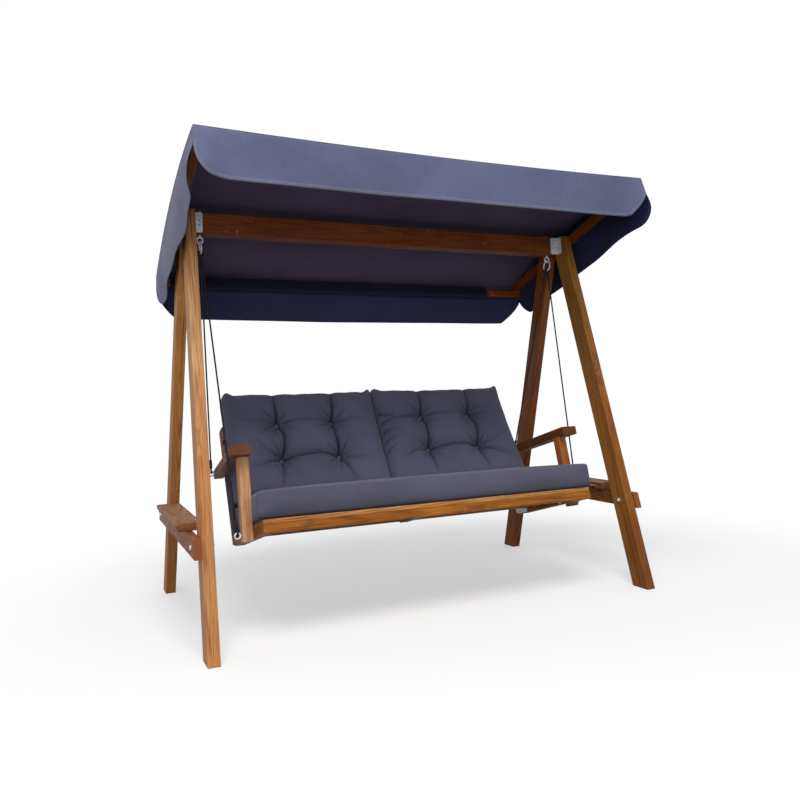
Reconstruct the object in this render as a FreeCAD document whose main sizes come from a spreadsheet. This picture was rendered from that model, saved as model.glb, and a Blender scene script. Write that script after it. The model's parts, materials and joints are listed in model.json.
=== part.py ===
import FreeCAD, Part
import math
import os
import re
import Sketcher

V = FreeCAD.Vector
Place = FreeCAD.Placement
Turn = FreeCAD.Rotation
AXIS_X = V(1, 0, 0)
AXIS_Y = V(0, 1, 0)
AXIS_Z = V(0, 0, 1)

# Driving sizes, in millimetres and degrees
SIZES = {
    # timber stand
    "stand_set_back": 28,
    "edge_round": 3,
    "stand_half_width": 1000,
    "leg_thick": 45,
    "leg_wide": 95,
    "leg_splay": 16.45,
    "leg_gap": 1,
    "beam_deep": 92,
    "beam_high": 92,
    "beam_top": 1733,
    "rail_thick": 30,
    "rail_high": 70,
    "rail_bottom": 349,
    "rail_overhang": 8,
    "tray_wide": 100,
    "tray_end_gap": 74.3,
    "tray_thick": 18,
    "cleat_high": 13,
    "cleat_wide": 40,
    "cleat_long": 86,
    "cleat_inset": 8,
    # stand hardware
    "bracket_wing": 40,
    "bracket_inset": 2,
    "bracket_hole": 6,
    "bracket_hole_in": 15.2,
    "bracket_hole_rise": 10.6,
    "bracket_screw_end": 12.3,
    "bracket_thick": 2.5,
    "bracket_round": 9,
    "screw_dia": 5,
    "screw_head": 10,
    "screw_head_high": 3,
    "screw_long": 30,
    "bolt_dia": 8,
    "bolt_head": 15,
    "bolt_head_high": 5.5,
    "bolt_fit": 0.2,
    "nut_high": 6.5,
    "washer_dia": 22,
    "washer_thick": 2,
    "bolt_tail": 4,
    "apex_screw_in": 12,
    "apex_screw_up": 23,
    # swing hooks and hang rings
    "hook_from_leg": 35,
    "hook_ring": 13,
    "hook_wire": 4,
    "hook_shank": 10,
    "hook_ring_drop": 23,
    "hook_nut_high": 8,
    "hook_tail": 6,
    "hang_ring": 27,
    "hang_wire": 4,
    "link_gap": 0.1,
    "loop_gap": 0.2,
    # canopy
    "canopy_tilt": 18.5,
    "rafter_thick": 35,
    "rafter_high": 40,
    "rafter_front": 638,
    "rafter_rear": 520,
    "rafter_spacer": 2,
    "spacer_dia": 44,
    "pivot_dia": 12,
    "pivot_clear": 0.06,
    "turn_gap": 0.3,
    "pivot_recess": 14,
    "pivot_recess_dia": 32,
    "pivot_bite": 28,
    "batten_wide": 30,
    "batten_high": 36,
    "batten_inset": 6,
    "front_batten_rise": 6,
    "cloth_thick": 2,
    "cloth_seam": 0.3,
    "roof_side_gap": 4,
    "roof_front_lap": 18,
    "roof_rear_lap": 10,
    "roof_lift": 21,
    "roof_crown": 70,
    "roof_sag": 14,
    "front_valance_deep": 192,
    "rear_valance_deep": 215,
    "side_valance_deep": 208,
    "valance_flare": 20,
    "side_hem_lean": -8,
    "valance_end_gap": 4,
    "valance_wave": 9,
    "valance_spare": 46,
    "valance_corner": 105,
    "hem_sag": 6,
    # seat frame
    "seat_tilt": 14.5,
    "seat_behind_hooks": 54,
    "seat_front_z": 411,
    "seat_side_gap": 187,
    "seat_rail_wide": 45,
    "seat_rail_high": 34,
    "rear_rail_inset": 102,
    "rear_rail_high": 12,
    "joist_high": 20,
    "slat_thick": 18,
    "slat_wide": 70,
    "slat_inset": 2,
    "seat_depth": 530,
    "seat_slat_count": 6,
    "post_at": 162,
    "post_thick": 45,
    "post_below": 12,
    "arm_under": 324,
    "arm_thick": 40,
    "arm_front": 115,
    "arm_past_back": 177,
    "arm_front_wide": 82,
    "arm_rear_wide": 44,
    # seat back
    "back_gap": 5,
    "back_recline": 17.5,
    "back_high": 540,
    "back_first_slat": 88,
    "back_slat_count": 5,
    "stile_thick": 45,
    "stile_deep": 44,
    "stile_foot": -27,
    "foot_plate_long": 62,
    "foot_plate_wide": 26,
    "foot_plate_thick": 2.5,
    # eye bolts on the seat
    "front_eye_rise": 15,
    "rear_eye_inset": 35,
    "eye_ring": 11,
    "eye_wire": 3.5,
    "eye_shank": 8,
    "eye_tail": 12,
    # ropes
    "rope_dia": 8,
    "rope_loop": 10,
    "splice_dia": 13,
    "splice_long": 45,
    "splice_gap": 1,
    # cushions
    "soft_gap": 0.4,
    "cushion_thick": 110,
    "cushion_crown": 9,
    "cushion_bulge": 10,
    "cushion_inset": 4,
    "cushion_front": -10,
    "cushion_end_drop": 22,
    "back_cushion_inset": 14,
    "back_cushion_split": 16,
    "back_cushion_thick": 112,
    "back_cushion_rise": 122,
    "back_cushion_draw": 42,
    "tuft_from_middle": 140,
    "tuft_from_top": 173,
    "tuft_row_gap": 189,
    "tuft_depth": 40,
    "tuft_valley": 16,
    "tuft_bulge": 18,
    "tuft_pinch": 4,
    "shoulder_round": 14,
    "top_round": 10,
    "top_swell": 2,
    "least_swell": 6,
    "cushion_end_round": 26,
    "button_dia": 24,
    "button_high": 8,
}

doc = FreeCAD.newDocument("GardenSwing")
sheet = doc.addObject("Spreadsheet::Sheet", "Sizes")
for row, (alias, amount) in enumerate(SIZES.items(), 1):
    sheet.set(f"A{row}", alias)
    sheet.set(f"B{row}", str(amount))
    sheet.setAlias(f"B{row}", alias)
doc.recompute()

exported = []


# Reading the size sheet
def bound(text):
    """Write a plain-word sum as an expression on the size sheet."""
    def point_at_sheet(found):
        return "Sizes." + found.group() if found.group() in SIZES else found.group()
    return re.sub(r"[a-z_]+", point_at_sheet, str(text))


def number(text):
    """Work out a plain-word sum from the size sheet."""
    return float(sheet.evalExpression(bound(text)))


def spot(x, y, z):
    return V(number(x), number(y), number(z))


# Sizes that follow from others, so that neighbouring pieces keep together
BRACKET_HIGH = "(beam_high - 2 * bracket_inset)"
HOOK_X = "(stand_half_width - leg_thick - hook_from_leg)"
ROOF_HALF = "(stand_half_width + rafter_spacer + rafter_thick + roof_side_gap)"
ROOF_FRONT = "(rafter_front + roof_front_lap)"
ROOF_REAR = "(rafter_rear + roof_rear_lap)"
SEAT_HALF = "(stand_half_width - leg_thick - seat_side_gap)"
SEAT_FRONT_Y = "seat_behind_hooks - seat_depth"
REAR_RAIL_AT = "(seat_depth - rear_rail_inset)"
BACK_AT = "(seat_depth + back_gap)"
ARM_REAR = f"({BACK_AT} + arm_past_back)"
REAR_EYE_AT = f"({ARM_REAR} - rear_eye_inset)"
CUSHION_HALF = f"({SEAT_HALF} - cushion_inset)"
BACK_CUSHION_WIDE = f"({SEAT_HALF} - back_cushion_split / 2 - back_cushion_inset)"
BACK_CUSHION_TOP = "(back_high + back_cushion_rise)"
TUFT_HIGH = f"({BACK_CUSHION_TOP} - tuft_from_top)"
TUFT_LOW = f"({TUFT_HIGH} - tuft_row_gap)"

# Frames: stand set back so that the whole swing is centred over the origin, canopy on its pivot,
# seat on its tilt, back on its recline
PIVOT_Z = "beam_top - beam_high / 2"
HOOK_RING_Z = "(beam_top - beam_high - hook_ring_drop)"
HINGE_Z = "(" + HOOK_RING_Z + " - hook_ring)"
HANG_TOP_Z = "(" + HINGE_Z + " + hook_wire + hang_wire + link_gap)"
stand_frame = Place(spot("0", "stand_set_back", "0"), Turn())
canopy_frame = Place(spot("0", "0", PIVOT_Z), Turn(AXIS_X, -number("canopy_tilt")))
seat_frame = Place(spot("0", SEAT_FRONT_Y, "seat_front_z"), Turn(AXIS_X, -number("seat_tilt")))
SLAT_TOP = "seat_rail_high + slat_thick"
back_turn = Turn(AXIS_X, -number("back_recline"))
back_frame = seat_frame.multiply(Place(spot("0", BACK_AT, SLAT_TOP), back_turn))


# Building blocks
def keep(item, placement=None):
    """Place a finished sub-part on the stand and list it for export."""
    if placement is not None:
        item.Placement = stand_frame.multiply(placement)
    exported.append(item)
    return item


def bind(item, **sums):
    for name, text in sums.items():
        item.setExpression(name, bound(text))
    return item


def new_sketch(body, role):
    plane = [item for item in body.Origin.OriginFeatures if item.Role == role][0]
    sketch = body.newObject("Sketcher::SketchObject", body.Name + "_sketch")
    sketch.AttachmentSupport = [(plane, "")]
    sketch.MapMode = "FlatFace"
    return sketch


def hold(sketch, kind, item, end, text, name):
    """Tie one coordinate of a sketch point to the size sheet."""
    index = sketch.addConstraint(Sketcher.Constraint(kind, -1, 1, item, end, number(text)))
    sketch.renameConstraint(index, name)
    sketch.setExpression("Constraints." + name, bound(text))


def close_outline(sketch, points):
    spots = [V(number(x), number(y), 0) for x, y in points]
    count = len(spots)
    for i in range(count):
        sketch.addGeometry(Part.LineSegment(spots[i], spots[(i + 1) % count]), False)
    for i in range(count):
        sketch.addConstraint(Sketcher.Constraint("Coincident", i, 2, (i + 1) % count, 1))
    for i, (x, y) in enumerate(points):
        hold(sketch, "DistanceX", i, 1, x, f"x{i}")
        hold(sketch, "DistanceY", i, 1, y, f"y{i}")


def round_edges(body, feature, grain, radius="edge_round"):
    """Round the edges that run along the grain."""
    names = []
    for i, edge in enumerate(feature.Shape.Edges, 1):
        along = edge.tangentAt(edge.FirstParameter)
        if abs(along.dot(grain)) > 0.99:
            names.append(f"Edge{i}")
    fillet = body.newObject("PartDesign::Fillet", body.Name + "_rounding")
    fillet.Base = (feature, names)
    bind(fillet, Radius=radius)
    doc.recompute()


def cut_board(label, role, points, thick, grain=None):
    """A board cut to a straight-sided outline, rounded along its grain."""
    body = doc.addObject("PartDesign::Body", label)
    sketch = new_sketch(body, role)
    close_outline(sketch, points)
    pad = body.newObject("PartDesign::Pad", label + "_pad")
    pad.Profile = sketch
    pad.Midplane = True
    bind(pad, Length=thick)
    doc.recompute()
    if grain is not None:
        round_edges(body, pad, grain.normalize())
    return body


def board(label, size_x, size_y, size_z, grain):
    """A square-cut board centred on its own origin."""
    half_x, half_y = f"({size_x}) / 2", f"({size_y}) / 2"
    corners = [("-" + half_x, "-" + half_y), (half_x, "-" + half_y),
               (half_x, half_y), ("-" + half_x, half_y)]
    return cut_board(label, "XY_Plane", corners, size_z, V(grain))


def drill(body, role, spots, across):
    """Round holes right through a body."""
    sketch = new_sketch(body, role)
    for i, (x, y) in enumerate(spots):
        centre = V(number(x), number(y), 0)
        sketch.addGeometry(Part.Circle(centre, AXIS_Z, number(across) / 2), False)
        hold(sketch, "DistanceX", i, 3, x, f"x{i}")
        hold(sketch, "DistanceY", i, 3, y, f"y{i}")
        index = sketch.addConstraint(Sketcher.Constraint("Diameter", i, number(across)))
        sketch.renameConstraint(index, f"across{i}")
        sketch.setExpression(f"Constraints.across{i}", bound(across))
    pocket = body.newObject("PartDesign::Pocket", body.Name + "_hole")
    pocket.Profile = sketch
    pocket.Type = "ThroughAll"
    pocket.Midplane = True
    doc.recompute()
    return sketch


def recess(body, role, out, deep, across):
    """A flat-bottomed round recess in the face that lies `out` from the middle plane."""
    sketch = new_sketch(body, role)
    sketch.AttachmentOffset = Place(V(0, 0, number(out)), Turn())
    sketch.setExpression("AttachmentOffset.Base.z", bound(out))
    sketch.addGeometry(Part.Circle(V(0, 0, 0), AXIS_Z, number(across) / 2), False)
    sketch.addConstraint(Sketcher.Constraint("Coincident", 0, 3, -1, 1))
    index = sketch.addConstraint(Sketcher.Constraint("Diameter", 0, number(across)))
    sketch.renameConstraint(index, "across")
    sketch.setExpression("Constraints.across", bound(across))
    pocket = body.newObject("PartDesign::Pocket", body.Name + "_recess")
    pocket.Profile = sketch
    bind(pocket, Length=deep)
    doc.recompute()


def turned(label, points):
    """A piece turned about its own z axis, from (radius, height) pairs."""
    body = doc.addObject("PartDesign::Body", label)
    sketch = new_sketch(body, "XZ_Plane")
    close_outline(sketch, points)
    lathe = body.newObject("PartDesign::Revolution", label + "_turned")
    lathe.Profile = sketch
    lathe.ReferenceAxis = (sketch, ["V_Axis"])
    lathe.Angle = 360
    doc.recompute()
    return body


def rod(label, radius, long, placement=None):
    """A round rod along z from its own origin."""
    item = bind(doc.addObject("Part::Cylinder", label), Radius=radius, Height=long)
    if placement is not None:
        item.Placement = placement
    return item


def ring(label, radius, wire, placement=None):
    """A round ring about its own z axis."""
    item = bind(doc.addObject("Part::Torus", label), Radius1=radius, Radius2=wire)
    if placement is not None:
        item.Placement = placement
    return item


def fused(label, pieces):
    item = doc.addObject("Part::MultiFuse", label)
    item.Shapes = pieces
    doc.recompute()
    return item


def group(label, pattern, placements):
    """Separate copies of one fitting, kept together as one sub-part."""
    item = doc.addObject("Part::Feature", label)
    copies = []
    for placement in placements:
        copy = pattern.Shape.copy()
        copy.Placement = placement.multiply(copy.Placement)
        copies.append(copy)
    item.Shape = Part.makeCompound(copies)
    return keep(item, Place())


def solid_part(label, shape, placement=None):
    item = doc.addObject("Part::Feature", label)
    item.Shape = shape
    return keep(item, placement or Place())


def facing(origin, direction):
    """A placement whose z axis looks along a direction."""
    return Place(origin, Turn(AXIS_Z, direction))


SIDES = (("left", -1), ("right", 1))


# Patterns of the small hardware, each along its own z axis with the seat of its head at z = 0
def make_screw(label, long):
    head = [("screw_head / 2", "0"), ("screw_head / 2", "screw_head_high / 2"),
            ("screw_head / 3", "screw_head_high"), ("0", "screw_head_high")]
    shank = [("0", f"-({long})"), ("screw_dia / 2", f"-({long})"), ("screw_dia / 2", "0")]
    return turned(label, shank + head)


def make_nut(label, hole, across, high):
    blank = doc.addObject("Part::Prism", label + "_blank")
    blank.Polygon = 6
    bind(blank, Circumradius=f"({across}) / sqrt(3)", Height=high)
    bore = rod(label + "_bore", f"({hole}) / 2", high)
    nut = doc.addObject("Part::Cut", label)
    nut.Base = blank
    nut.Tool = bore
    doc.recompute()
    return nut


def make_bolt(label, shank_dia, long, across, head_high):
    head = doc.addObject("Part::Prism", label + "_head")
    head.Polygon = 6
    bind(head, Circumradius=f"({across}) / sqrt(3)", Height=head_high)
    shank = rod(label + "_shank", f"({shank_dia}) / 2", f"{long} + {head_high} / 2")
    shank.Placement = Place(V(0, 0, -number(long)), Turn())
    shank.setExpression("Placement.Base.z", bound(f"-({long})"))
    return fused(label, [head, shank])


def make_washer(label, outer, hole, thick):
    return turned(label, [(f"({hole}) / 2", "0"), (f"({outer}) / 2", "0"),
                          (f"({outer}) / 2", thick), (f"({hole}) / 2", thick)])


def make_eye(label, ring_radius, wire, shank_dia, tail):
    """A ring on a shank that runs down its own z axis; the ring stands in the x-z plane."""
    eye_ring = ring(label + "_ring", ring_radius, wire, Place(V(0, 0, 0), Turn(AXIS_X, 90)))
    shank = rod(label + "_shank", f"({shank_dia}) / 2", tail)
    shank.Placement = Place(V(0, 0, -number(f"{ring_radius} - {wire} / 2 + {tail}")), Turn())
    return fused(label, [eye_ring, shank])


screw = make_screw("screw_pattern", "screw_long")
nut = make_nut("nut_pattern", "bolt_dia + bolt_fit", "bolt_head", "nut_high")


# Stand
LEG_CUT = "leg_wide / cos(leg_splay)"
RAIL_MID = "(rail_bottom + rail_high / 2)"


def leg_inner(height):
    return f"(leg_gap / 2 + (beam_top - {height}) * tan(leg_splay))"


LEG_BOLT_Y = f"({leg_inner(RAIL_MID)} + {LEG_CUT} / 2)"


def make_legs():
    outline = [(f"-{leg_inner(0)} - {LEG_CUT}", "0"), (f"-{leg_inner(0)}", "0"),
               ("-leg_gap / 2", "beam_top"), (f"-leg_gap / 2 - {LEG_CUT}", "beam_top")]
    grain = V(0, math.tan(math.radians(number("leg_splay"))), 1)
    for side, sign in SIDES:
        for end, turn in (("front", 0), ("rear", 180)):
            leg = cut_board(f"{side}_{end}_leg", "YZ_Plane", outline, "leg_thick", V(grain))
            drill(leg, "YZ_Plane", [("-" + LEG_BOLT_Y, RAIL_MID)], "bolt_dia + bolt_fit")
            middle = sign * number("stand_half_width - leg_thick / 2")
            keep(leg, Place(V(middle, 0, 0), Turn(AXIS_Z, turn)))


def make_beam():
    beam = board("top_beam", "2 * (stand_half_width - leg_thick)", "beam_deep", "beam_high", AXIS_X)
    drill(beam, "XY_Plane", [("-" + HOOK_X, "0"), (HOOK_X, "0")], "hook_shank + bolt_fit")
    keep(beam, Place(spot("0", "0", PIVOT_Z), Turn()))


def make_cross_rails():
    def reach(height):
        return f"({leg_inner(height)} + {LEG_CUT} + rail_overhang)"
    top = "(rail_bottom + rail_high)"
    outline = [("-" + reach("rail_bottom"), "rail_bottom"), (reach("rail_bottom"), "rail_bottom"),
               (reach(top), top), ("-" + reach(top), top)]
    for side, sign in SIDES:
        rail = cut_board(f"{side}_cross_rail", "YZ_Plane", outline, "rail_thick", V(AXIS_Y))
        holes = [("-" + LEG_BOLT_Y, RAIL_MID), (LEG_BOLT_Y, RAIL_MID)]
        drill(rail, "YZ_Plane", holes, "bolt_dia + bolt_fit")
        keep(rail, Place(V(sign * number("stand_half_width + rail_thick / 2"), 0, 0), Turn()))


def make_trays():
    rail_top = "rail_bottom + rail_high"
    tray_level = f"({rail_top} + cleat_high + tray_thick)"
    tray_half = f"({leg_inner(tray_level)} - tray_end_gap)"
    middle = number("stand_half_width + rail_thick / 2")
    cleat = board("cleat_pattern", "cleat_long", "cleat_wide", "cleat_high", AXIS_X)
    cleat_y = number(f"{tray_half} - cleat_inset - cleat_wide / 2")
    cleat_z = number(f"{rail_top} + cleat_high / 2")
    tray_top = number(tray_level)
    cleats = []
    screws = []
    for side, sign in SIDES:
        tray = board(f"{side}_tray_board", "tray_wide", f"2 * {tray_half}", "tray_thick", AXIS_Y)
        keep(tray, Place(V(sign * middle, 0, tray_top - number("tray_thick / 2")), Turn()))
        for end in (-1, 1):
            cleats.append(Place(V(sign * middle, end * cleat_y, cleat_z), Turn()))
            for across in (-1, 1):
                x = sign * middle + across * number("cleat_long / 4")
                screws.append(Place(V(x, end * cleat_y, tray_top - number("screw_head_high")), Turn()))
    group("tray_cleats", cleat, cleats)
    group("tray_screws", make_screw("tray_screw_pattern", "tray_thick + cleat_high / 2"), screws)


def make_brackets():
    wing, thick = "bracket_wing", "bracket_thick"
    outline = [("0", "0"), (f"-{wing}", "0"), (f"-{wing}", f"-{thick}"), (f"-{thick}", f"-{thick}"),
               (f"-{thick}", f"-{wing}"), ("0", f"-{wing}")]
    bracket = cut_board("bracket_pattern", "XY_Plane", outline, BRACKET_HIGH)
    pad = bracket.Tip
    tips = []
    for i, edge in enumerate(pad.Shape.Edges, 1):
        middle = edge.BoundBox.Center
        at_tip = min(middle.x, middle.y) < -number(f"{wing} - {thick}")
        if edge.Length < number(thick) + 0.01 and at_tip and abs(edge.tangentAt(0).z) < 0.01:
            tips.append(f"Edge{i}")
    fillet = bracket.newObject("PartDesign::Fillet", "bracket_tips")
    fillet.Base = (pad, tips)
    bind(fillet, Radius="bracket_round")
    doc.recompute()
    across, near = f"(bracket_hole_in - {wing})", "bracket_hole_rise"
    far = f"({BRACKET_HIGH} / 2 - bracket_screw_end)"
    for role in ("XZ_Plane", "YZ_Plane"):
        drill(bracket, role, [(across, "-" + far), (across, far)], "screw_dia + bolt_fit")
        drill(bracket, role, [(across, "-" + near), (across, near)], "bracket_hole")
    brackets = []
    screws = []
    inner = number("stand_half_width - leg_thick")
    middle_z = number(PIVOT_Z)
    short = number("bracket_thick")
    out = -number(across)
    lift = number(far)
    face_y = number("beam_deep / 2")
    for side, sign in SIDES:
        for end in (-1, 1):
            corner = V(sign * inner, end * face_y, middle_z)
            quarter = {(1, -1): 0, (1, 1): 270, (-1, 1): 180, (-1, -1): 90}[(sign, end)]
            brackets.append(Place(corner, Turn(AXIS_Z, quarter)))
            for rise in (-lift, lift):
                on_beam = corner + V(-sign * out, end * short, rise)
                on_leg = corner + V(-sign * short, end * out, rise)
                screws.append(facing(on_beam, V(0, end, 0)))
                screws.append(facing(on_leg, V(-sign, 0, 0)))
    group("beam_angle_brackets", bracket, brackets)
    group("bracket_screws", screw, screws)


def make_stand_bolts():
    outer = number("stand_half_width + rail_thick")
    inner = number("stand_half_width - leg_thick")
    grip = "rail_thick + leg_thick + nut_high + bolt_tail"
    bolt = make_bolt("rail_bolt_pattern", "bolt_dia", grip, "bolt_head", "bolt_head_high")
    apex = make_screw("apex_screw_pattern", "leg_thick + screw_long")
    bolts, nuts, apexes = [], [], []
    for side, sign in SIDES:
        for end in (-1, 1):
            y, z = end * number(LEG_BOLT_Y), number(RAIL_MID)
            bolts.append(facing(V(sign * outer, y, z), V(sign, 0, 0)))
            nuts.append(facing(V(sign * inner, y, z), V(-sign, 0, 0)))
            head = spot("stand_half_width - screw_head_high", "beam_deep / 2 - apex_screw_in",
                        "beam_top - beam_high + apex_screw_up")
            apexes.append(facing(V(sign * head.x, end * head.y, head.z), V(sign, 0, 0)))
    group("cross_rail_bolts", bolt, bolts)
    group("cross_rail_nuts", nut, nuts)
    group("apex_screws", apex, apexes)


def make_hooks():
    tail = "(beam_high + hook_ring_drop - hook_ring + hook_wire / 2 + hook_nut_high + hook_tail)"
    hook = make_eye("hook_pattern", "hook_ring", "hook_wire", "hook_shank", tail)
    hook_nut = make_nut("hook_nut_pattern", "hook_shank + bolt_fit", "hook_shank * 1.7", "hook_nut_high")
    turn_over = Turn(AXIS_X, 180)
    places = ("-" + HOOK_X, HOOK_X)
    group("swing_eye_bolts", hook, [Place(spot(x, "0", HOOK_RING_Z), turn_over) for x in places])
    group("swing_eye_nuts", hook_nut, [Place(spot(x, "0", "beam_top"), Turn()) for x in places])


# Canopy frame
def make_canopy_frame():
    outline = [("-rafter_front", "-rafter_high / 2"), ("rafter_rear", "-rafter_high / 2"),
               ("rafter_rear", "rafter_high / 2"), ("-rafter_front", "rafter_high / 2")]
    middle = number("stand_half_width + rafter_spacer + rafter_thick / 2")
    for side, sign in SIDES:
        rafter = cut_board(f"{side}_rafter", "YZ_Plane", outline, "rafter_thick", V(AXIS_Y))
        drill(rafter, "YZ_Plane", [("0", "0")], "pivot_dia + 2 * pivot_clear")
        recess(rafter, "YZ_Plane", "rafter_thick / 2", "pivot_recess", "pivot_recess_dia")
        turn = Turn(AXIS_Y, 0 if sign > 0 else 180)
        keep(rafter, canopy_frame.multiply(Place(V(sign * middle, 0, 0), turn)))
    inner = "2 * (stand_half_width + rafter_spacer)"
    front = board("front_batten", inner, "batten_wide", "batten_high", AXIS_X)
    front_s = "batten_inset + batten_wide / 2 - rafter_front"
    front_at = spot("0", front_s, "front_batten_rise - batten_high / 2")
    keep(front, canopy_frame.multiply(Place(front_at, Turn())))
    rear = board("rear_batten", inner + " + 2 * rafter_thick", "batten_wide", "batten_high", AXIS_X)
    rear_at = spot("0", "rafter_rear - batten_inset - batten_wide / 2", "-(rafter_high + batten_high) / 2")
    keep(rear, canopy_frame.multiply(Place(rear_at, Turn())))
    screws = []
    outer = number("stand_half_width + rafter_spacer + rafter_thick - screw_head_high")
    for side, sign in SIDES:
        head = V(sign * outer, front_at.y, front_at.z / 2)
        screws.append(canopy_frame.multiply(facing(head, V(sign, 0, 0))))
        head = V(sign * middle, rear_at.y, number("rafter_high / 2 - screw_head_high"))
        screws.append(canopy_frame.multiply(Place(head, Turn())))
    group("batten_screws", make_screw("batten_screw_pattern", "rafter_thick + screw_long"), screws)


def make_pivots():
    seat_x = number("stand_half_width + rafter_spacer + rafter_thick - pivot_recess + turn_gap")
    grip = "rafter_thick - pivot_recess + turn_gap + rafter_spacer + leg_thick + pivot_bite"
    bolt = make_bolt("pivot_pattern", "pivot_dia", grip, "pivot_dia * 1.6", "pivot_dia * 0.6")
    spacer = make_washer("spacer_pattern", "spacer_dia", "pivot_dia + bolt_fit", "rafter_spacer - turn_gap")
    bolts, washers = [], []
    for side, sign in SIDES:
        out = V(sign, 0, 0)
        bolts.append(facing(V(sign * seat_x, 0, number(PIVOT_Z)), out))
        washers.append(facing(V(sign * number("stand_half_width"), 0, number(PIVOT_Z)), out))
    group("rafter_pivot_bolts", bolt, bolts)
    group("pivot_washers", spacer, washers)


# Canopy cloth
def strip(across, along, near, wave, waves, thick):
    """Closed outline of a cloth edge seen from above: gentle waves of equal width."""
    half = along / 2
    step = 2 * half / waves
    edges = []
    for face, offset in ((1, 0), (-1, thick)):
        for k in range(waves):
            i = k if face > 0 else waves - 1 - k
            a, b = -half + i * step, -half + (i + 1) * step
            if face < 0:
                a, b = b, a
            bend = wave * (1 if i % 2 else -1)
            ends = [across(t, near + offset) for t in (a, (a + b) / 2, b)]
            ends[1] = across((a + b) / 2, near + offset + bend)
            edges.append(Part.Arc(*ends).toShape())
        a = half if face > 0 else -half
        first, last = (0, thick) if face > 0 else (thick, 0)
        edges.append(Part.LineSegment(across(a, near + first), across(a, near + last)).toShape())
    return Part.Wire(edges)


def hanging_sheet(strips, outline, pull):
    """Cloth that falls straight past its seam and on to a waved hem, trimmed to its outline."""
    fall = Part.makeLoft(strips, True, True)
    cutter = Part.Face(outline).extrude(pull)
    trimmed = fall.common(cutter)
    return trimmed.Solids[0]


def flap_outline(point, half, top, top_mid, hem, hem_mid, corner):
    """Flap with curved top and hem edges and rounded lower corners."""
    bend = corner * (1 - math.sqrt(0.5))
    edges = [
        Part.Arc(point(-half, top), point(0, top_mid), point(half, top)),
        Part.LineSegment(point(half, top), point(half, hem + corner)),
        Part.Arc(point(half, hem + corner), point(half - bend, hem + bend), point(half - corner, hem)),
        Part.Arc(point(half - corner, hem), point(0, hem_mid), point(corner - half, hem)),
        Part.Arc(point(corner - half, hem), point(bend - half, hem + bend), point(-half, hem + corner)),
        Part.LineSegment(point(-half, hem + corner), point(-half, top)),
    ]
    return Part.Wire([edge.toShape() for edge in edges])


def make_roof():
    front, rear = -number(ROOF_FRONT), number(ROOF_REAR)
    lift, crown, sag = number("roof_lift"), number("roof_crown"), number("roof_sag")
    thick = number("cloth_thick")
    pitch = math.radians(number("canopy_tilt"))
    sections = []
    for share, low in ((-1, 0), (-0.5, 0.75), (0, 1), (0.5, 0.75), (1, 0)):
        x = share * number(ROOF_HALF)
        along, down = sag * low * math.sin(pitch), sag * low * math.cos(pitch)
        middle = ((front + rear) / 2, lift + crown - down / 2)
        ends = [(rear + along, lift - down), middle, (front + along, lift - down)]
        over = [V(x, s, n) for s, n in ends]
        under = [V(x, s, n - thick) for s, n in reversed(ends)]
        edges = [Part.Arc(*over), Part.LineSegment(over[2], under[0]),
                 Part.Arc(*under), Part.LineSegment(under[2], over[0])]
        sections.append(Part.Wire([edge.toShape() for edge in edges]))
    solid_part("canopy_roof", Part.makeLoft(sections, True, False), canopy_frame)


def make_end_valance(label, deep, edge_s, sign, waves):
    """A flap that hangs plumb from the front or rear edge of the roof."""
    edge = canopy_frame.multVec(V(0, edge_s, number("roof_lift")))
    thick, seam = number("cloth_thick"), number("cloth_seam")
    half = number(ROOF_HALF) - seam - number("valance_end_gap")
    if sign < 0:
        seam += thick * math.sin(math.radians(number("canopy_tilt")))
    drop = number("roof_sag")
    hem = edge.z - deep
    margin, corner = number("valance_spare"), number("valance_corner")

    def plan(height):
        return lambda along, out: V(along, edge.y + sign * out, height)
    width = 2 * half + margin
    flare = seam + number("valance_flare") / 2
    strips = [strip(plan(edge.z + margin), width, seam, seam / 6, waves, thick),
              strip(plan(edge.z - drop - thick), width, seam, seam / 6, waves, thick),
              strip(plan(hem - margin), width, flare, number("valance_wave"), waves, thick)]

    def front_view(x, z):
        return V(x, edge.y - 4 * margin, z)
    low = hem - number("hem_sag")
    outline = flap_outline(front_view, half, edge.z, edge.z - drop, hem, low, corner)
    solid_part(label, hanging_sheet(strips, outline, V(0, 8 * margin, 0)))


def make_side_valances(waves):
    """Flaps along the sloping sides, square to the slope and leaning in a little at the hem."""
    front, rear = -number(ROOF_FRONT), number(ROOF_REAR)
    lift, deep = number("roof_lift"), number("side_valance_deep")
    thick, seam = number("cloth_thick"), number("cloth_seam")
    middle, half = (front + rear) / 2, (rear - front) / 2
    edge_x = number(ROOF_HALF)
    margin, corner = number("valance_spare"), number("valance_corner")
    top, hem = lift + number("roof_crown") + margin, lift - deep
    lean = number("side_hem_lean")
    for side, sign in SIDES:
        def plan(height):
            return lambda along, out: V(sign * (edge_x + out), middle + along, height)

        def side_view(s, n):
            return V(sign * (edge_x - 2 * margin), middle + s, n)
        width = 2 * half + margin
        strips = [strip(plan(top), width, seam, seam / 6, waves, thick),
                  strip(plan(lift - thick), width, seam, seam / 6, waves, thick),
                  strip(plan(hem - margin), width, seam + lean, number("valance_wave"), waves, thick)]
        low, high = hem - number("hem_sag / 6"), lift + number("roof_crown")
        outline = flap_outline(side_view, half, lift, high, hem, low, corner)
        sheet_shape = hanging_sheet(strips, outline, V(sign * 4 * margin, 0, 0))
        solid_part(f"{side}_valance", sheet_shape, canopy_frame)


# Seat frame
def in_seat(x, b, u):
    return seat_frame.multiply(Place(V(x, b, u), Turn()))


def in_back(x, out, up):
    return back_frame.multiply(Place(V(x, out, up), Turn()))


STILE_FRONT = "slat_thick"


def stile_face_at(height):
    """Where a back stile's front face stands, along the seat, at a height above the seat's underside."""
    return (f"({BACK_AT} + slat_thick / cos(back_recline) + ({height} - seat_rail_high - slat_thick)"
            " * tan(back_recline))")


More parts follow.
